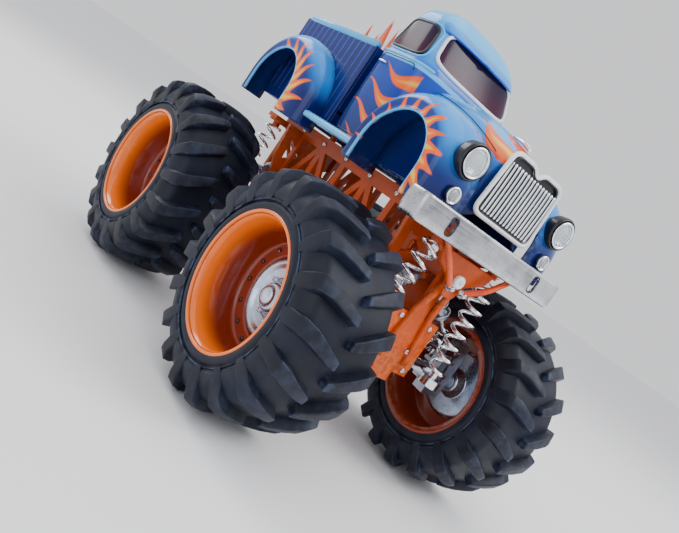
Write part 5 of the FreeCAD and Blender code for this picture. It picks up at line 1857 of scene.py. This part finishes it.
def make_stage():
    """A pale flat floor, soft lights and the camera."""
    reach = 14.0
    rows = []
    for i in range(25):
        angle = TAU * i / 24
        c, s = math.cos(angle), math.sin(angle)
        rows.append([(c * r, s * r, -0.0002) for r in (0.0, 0.3, 0.6, 1.2, 4.0, reach)])
    floor = sheet_piece("studio_floor", rows)
    floor.data.materials.append(material("floor"))

    world = bpy.data.worlds.new("studio_world")
    bpy.context.scene.world = world
    world.use_nodes = True
    background = world.node_tree.nodes["Background"]
    background.inputs["Color"].default_value = (0.96, 0.97, 1.0, 1)
    background.inputs["Strength"].default_value = 1.0
    target = (0, 0, 0.15)
    area_light("key_light", (0.75, -1.0, 1.25), target, (0.9, 0.7), 17)
    area_light("fill_light", (-1.1, -0.7, 0.6), target, (0.9, 0.9), 4, (0.85, 0.92, 1.0))
    area_light("rim_light", (-0.5, 1.1, 1.0), target, (0.8, 0.6), 9)
    area_light("top_light", (0.1, 0.0, 1.5), target, (1.2, 1.2), 5)
    make_camera()


CAMERA_AZIMUTH = math.radians(-40.3)
CAMERA_HEIGHT = math.radians(6.8)
CAMERA_ROLL = math.radians(34.7)
CAMERA_DISTANCE = 0.60
CAMERA_TARGET = Vector((0, 0, 0.144))
CAMERA_SLIDE = (-0.0120, -0.042)


def make_camera():
    """Low three-quarter view of the nose and the truck's right side, rolled so the truck climbs."""
    data = bpy.data.cameras.new("camera")
    data.lens = 38.8
    data.sensor_width = 36
    camera = bpy.data.objects.new("camera", data)
    bpy.context.scene.collection.objects.link(camera)
    back = Vector((math.sin(CAMERA_AZIMUTH) * math.cos(CAMERA_HEIGHT),
                   -math.cos(CAMERA_AZIMUTH) * math.cos(CAMERA_HEIGHT), math.sin(CAMERA_HEIGHT)))
    right = Vector((0, 0, 1)).cross(back).normalized()
    up = back.cross(right)
    across = right * math.cos(CAMERA_ROLL) + up * math.sin(CAMERA_ROLL)
    above = up * math.cos(CAMERA_ROLL) - right * math.sin(CAMERA_ROLL)
    place = CAMERA_TARGET + back * CAMERA_DISTANCE + across * CAMERA_SLIDE[0] + above * CAMERA_SLIDE[1]
    axes = Matrix((across, above, back)).transposed().to_4x4()
    camera.matrix_world = Matrix.Translation(place) @ axes
    bpy.context.scene.camera = camera


# ---------------------------------------------------------------- the add-on

class TRUCK_OT_stage(bpy.types.Operator):
    """Add the floor, the lights and the camera"""
    bl_idname = "truck.stage"
    bl_label = "Studio stage"

    def execute(self, context):
        make_stage()
        return {"FINISHED"}


class TRUCK_OT_wheels(bpy.types.Operator):
    """Make the four tyres, rims and wheel centres"""
    bl_idname = "truck.wheels"
    bl_label = "Wheels"

    def execute(self, context):
        for corner in CORNERS:
            make_tyre(*corner)
            make_rim(*corner)
            make_hub(*corner)
        return {"FINISHED"}


class TRUCK_OT_suspension(bpy.types.Operator):
    """Make the coil springs and the damper collars"""
    bl_idname = "truck.suspension"
    bl_label = "Springs and dampers"

    def execute(self, context):
        for corner in CORNERS:
            make_spring(*corner)
            make_damper_trim(*corner)
        return {"FINISHED"}


class TRUCK_OT_chassis(bpy.types.Operator):
    """Finish the frame's own nodes and add its bolts, bracket and truss"""
    bl_idname = "truck.chassis"
    bl_label = "Chassis"

    def execute(self, context):
        dress_frame_nodes()
        make_frame_bolts()
        make_front_bracket()
        make_rear_truss()
        return {"FINISHED"}


class TRUCK_OT_front_trim(bpy.types.Operator):
    """Make the bumper and the tow rods"""
    bl_idname = "truck.front_trim"
    bl_label = "Bumper"

    def execute(self, context):
        make_bumper()
        make_tow_rods()
        return {"FINISHED"}


class TRUCK_OT_cab(bpy.types.Operator):
    """Make the cab with its windows, visor, seams and handles"""
    bl_idname = "truck.cab"
    bl_label = "Cab"

    def execute(self, context):
        make_cab()
        make_windows()
        make_visor()
        make_cab_details()
        return {"FINISHED"}


class TRUCK_OT_hood(bpy.types.Operator):
    """Make the hood, its trim, the grille and the lamps"""
    bl_idname = "truck.hood"
    bl_label = "Hood and grille"

    def execute(self, context):
        make_hood()
        make_hood_details()
        make_grille()
        make_lamps()
        return {"FINISHED"}


class TRUCK_OT_fenders(bpy.types.Operator):
    """Make the four fenders and the running boards"""
    bl_idname = "truck.fenders"
    bl_label = "Fenders"

    def execute(self, context):
        for corner in CORNERS:
            make_fender(*corner)
        for side in SIDES:
            make_running_board(*side)
        return {"FINISHED"}


class TRUCK_OT_bed(bpy.types.Operator):
    """Make the cargo bed and the flames that stand in it"""
    bl_idname = "truck.bed"
    bl_label = "Cargo bed and flames"

    def execute(self, context):
        make_bed()
        make_flames()
        return {"FINISHED"}


OPERATORS = (
    TRUCK_OT_stage, TRUCK_OT_wheels, TRUCK_OT_suspension, TRUCK_OT_chassis, TRUCK_OT_front_trim,
    TRUCK_OT_cab, TRUCK_OT_hood, TRUCK_OT_fenders, TRUCK_OT_bed,
)


class TRUCK_PT_panel(bpy.types.Panel):
    """Lists the makers in the sidebar"""
    bl_idname = "TRUCK_PT_panel"
    bl_label = "Monster truck"
    bl_space_type = "VIEW_3D"
    bl_region_type = "UI"
    bl_category = "Truck"

    def draw(self, context):
        for operator in OPERATORS:
            self.layout.operator(operator.bl_idname)


CLASSES = (TruckWheelSettings, TruckPaintSettings, TruckTrimSettings, *OPERATORS, TRUCK_PT_panel)


def register():
    for item in CLASSES:
        bpy.utils.register_class(item)
    bpy.types.Scene.truck_wheels = PointerProperty(type=TruckWheelSettings)
    bpy.types.Scene.truck_paint = PointerProperty(type=TruckPaintSettings)
    bpy.types.Scene.truck_trim = PointerProperty(type=TruckTrimSettings)


def unregister():
    del bpy.types.Scene.truck_wheels
    del bpy.types.Scene.truck_paint
    del bpy.types.Scene.truck_trim
    for item in reversed(CLASSES):
        bpy.utils.unregister_class(item)


def main():
    register()
    for operator in OPERATORS:
        group, name = operator.bl_idname.split(".")
        getattr(getattr(bpy.ops, group), name)()


if __name__ == "__main__":
    main()
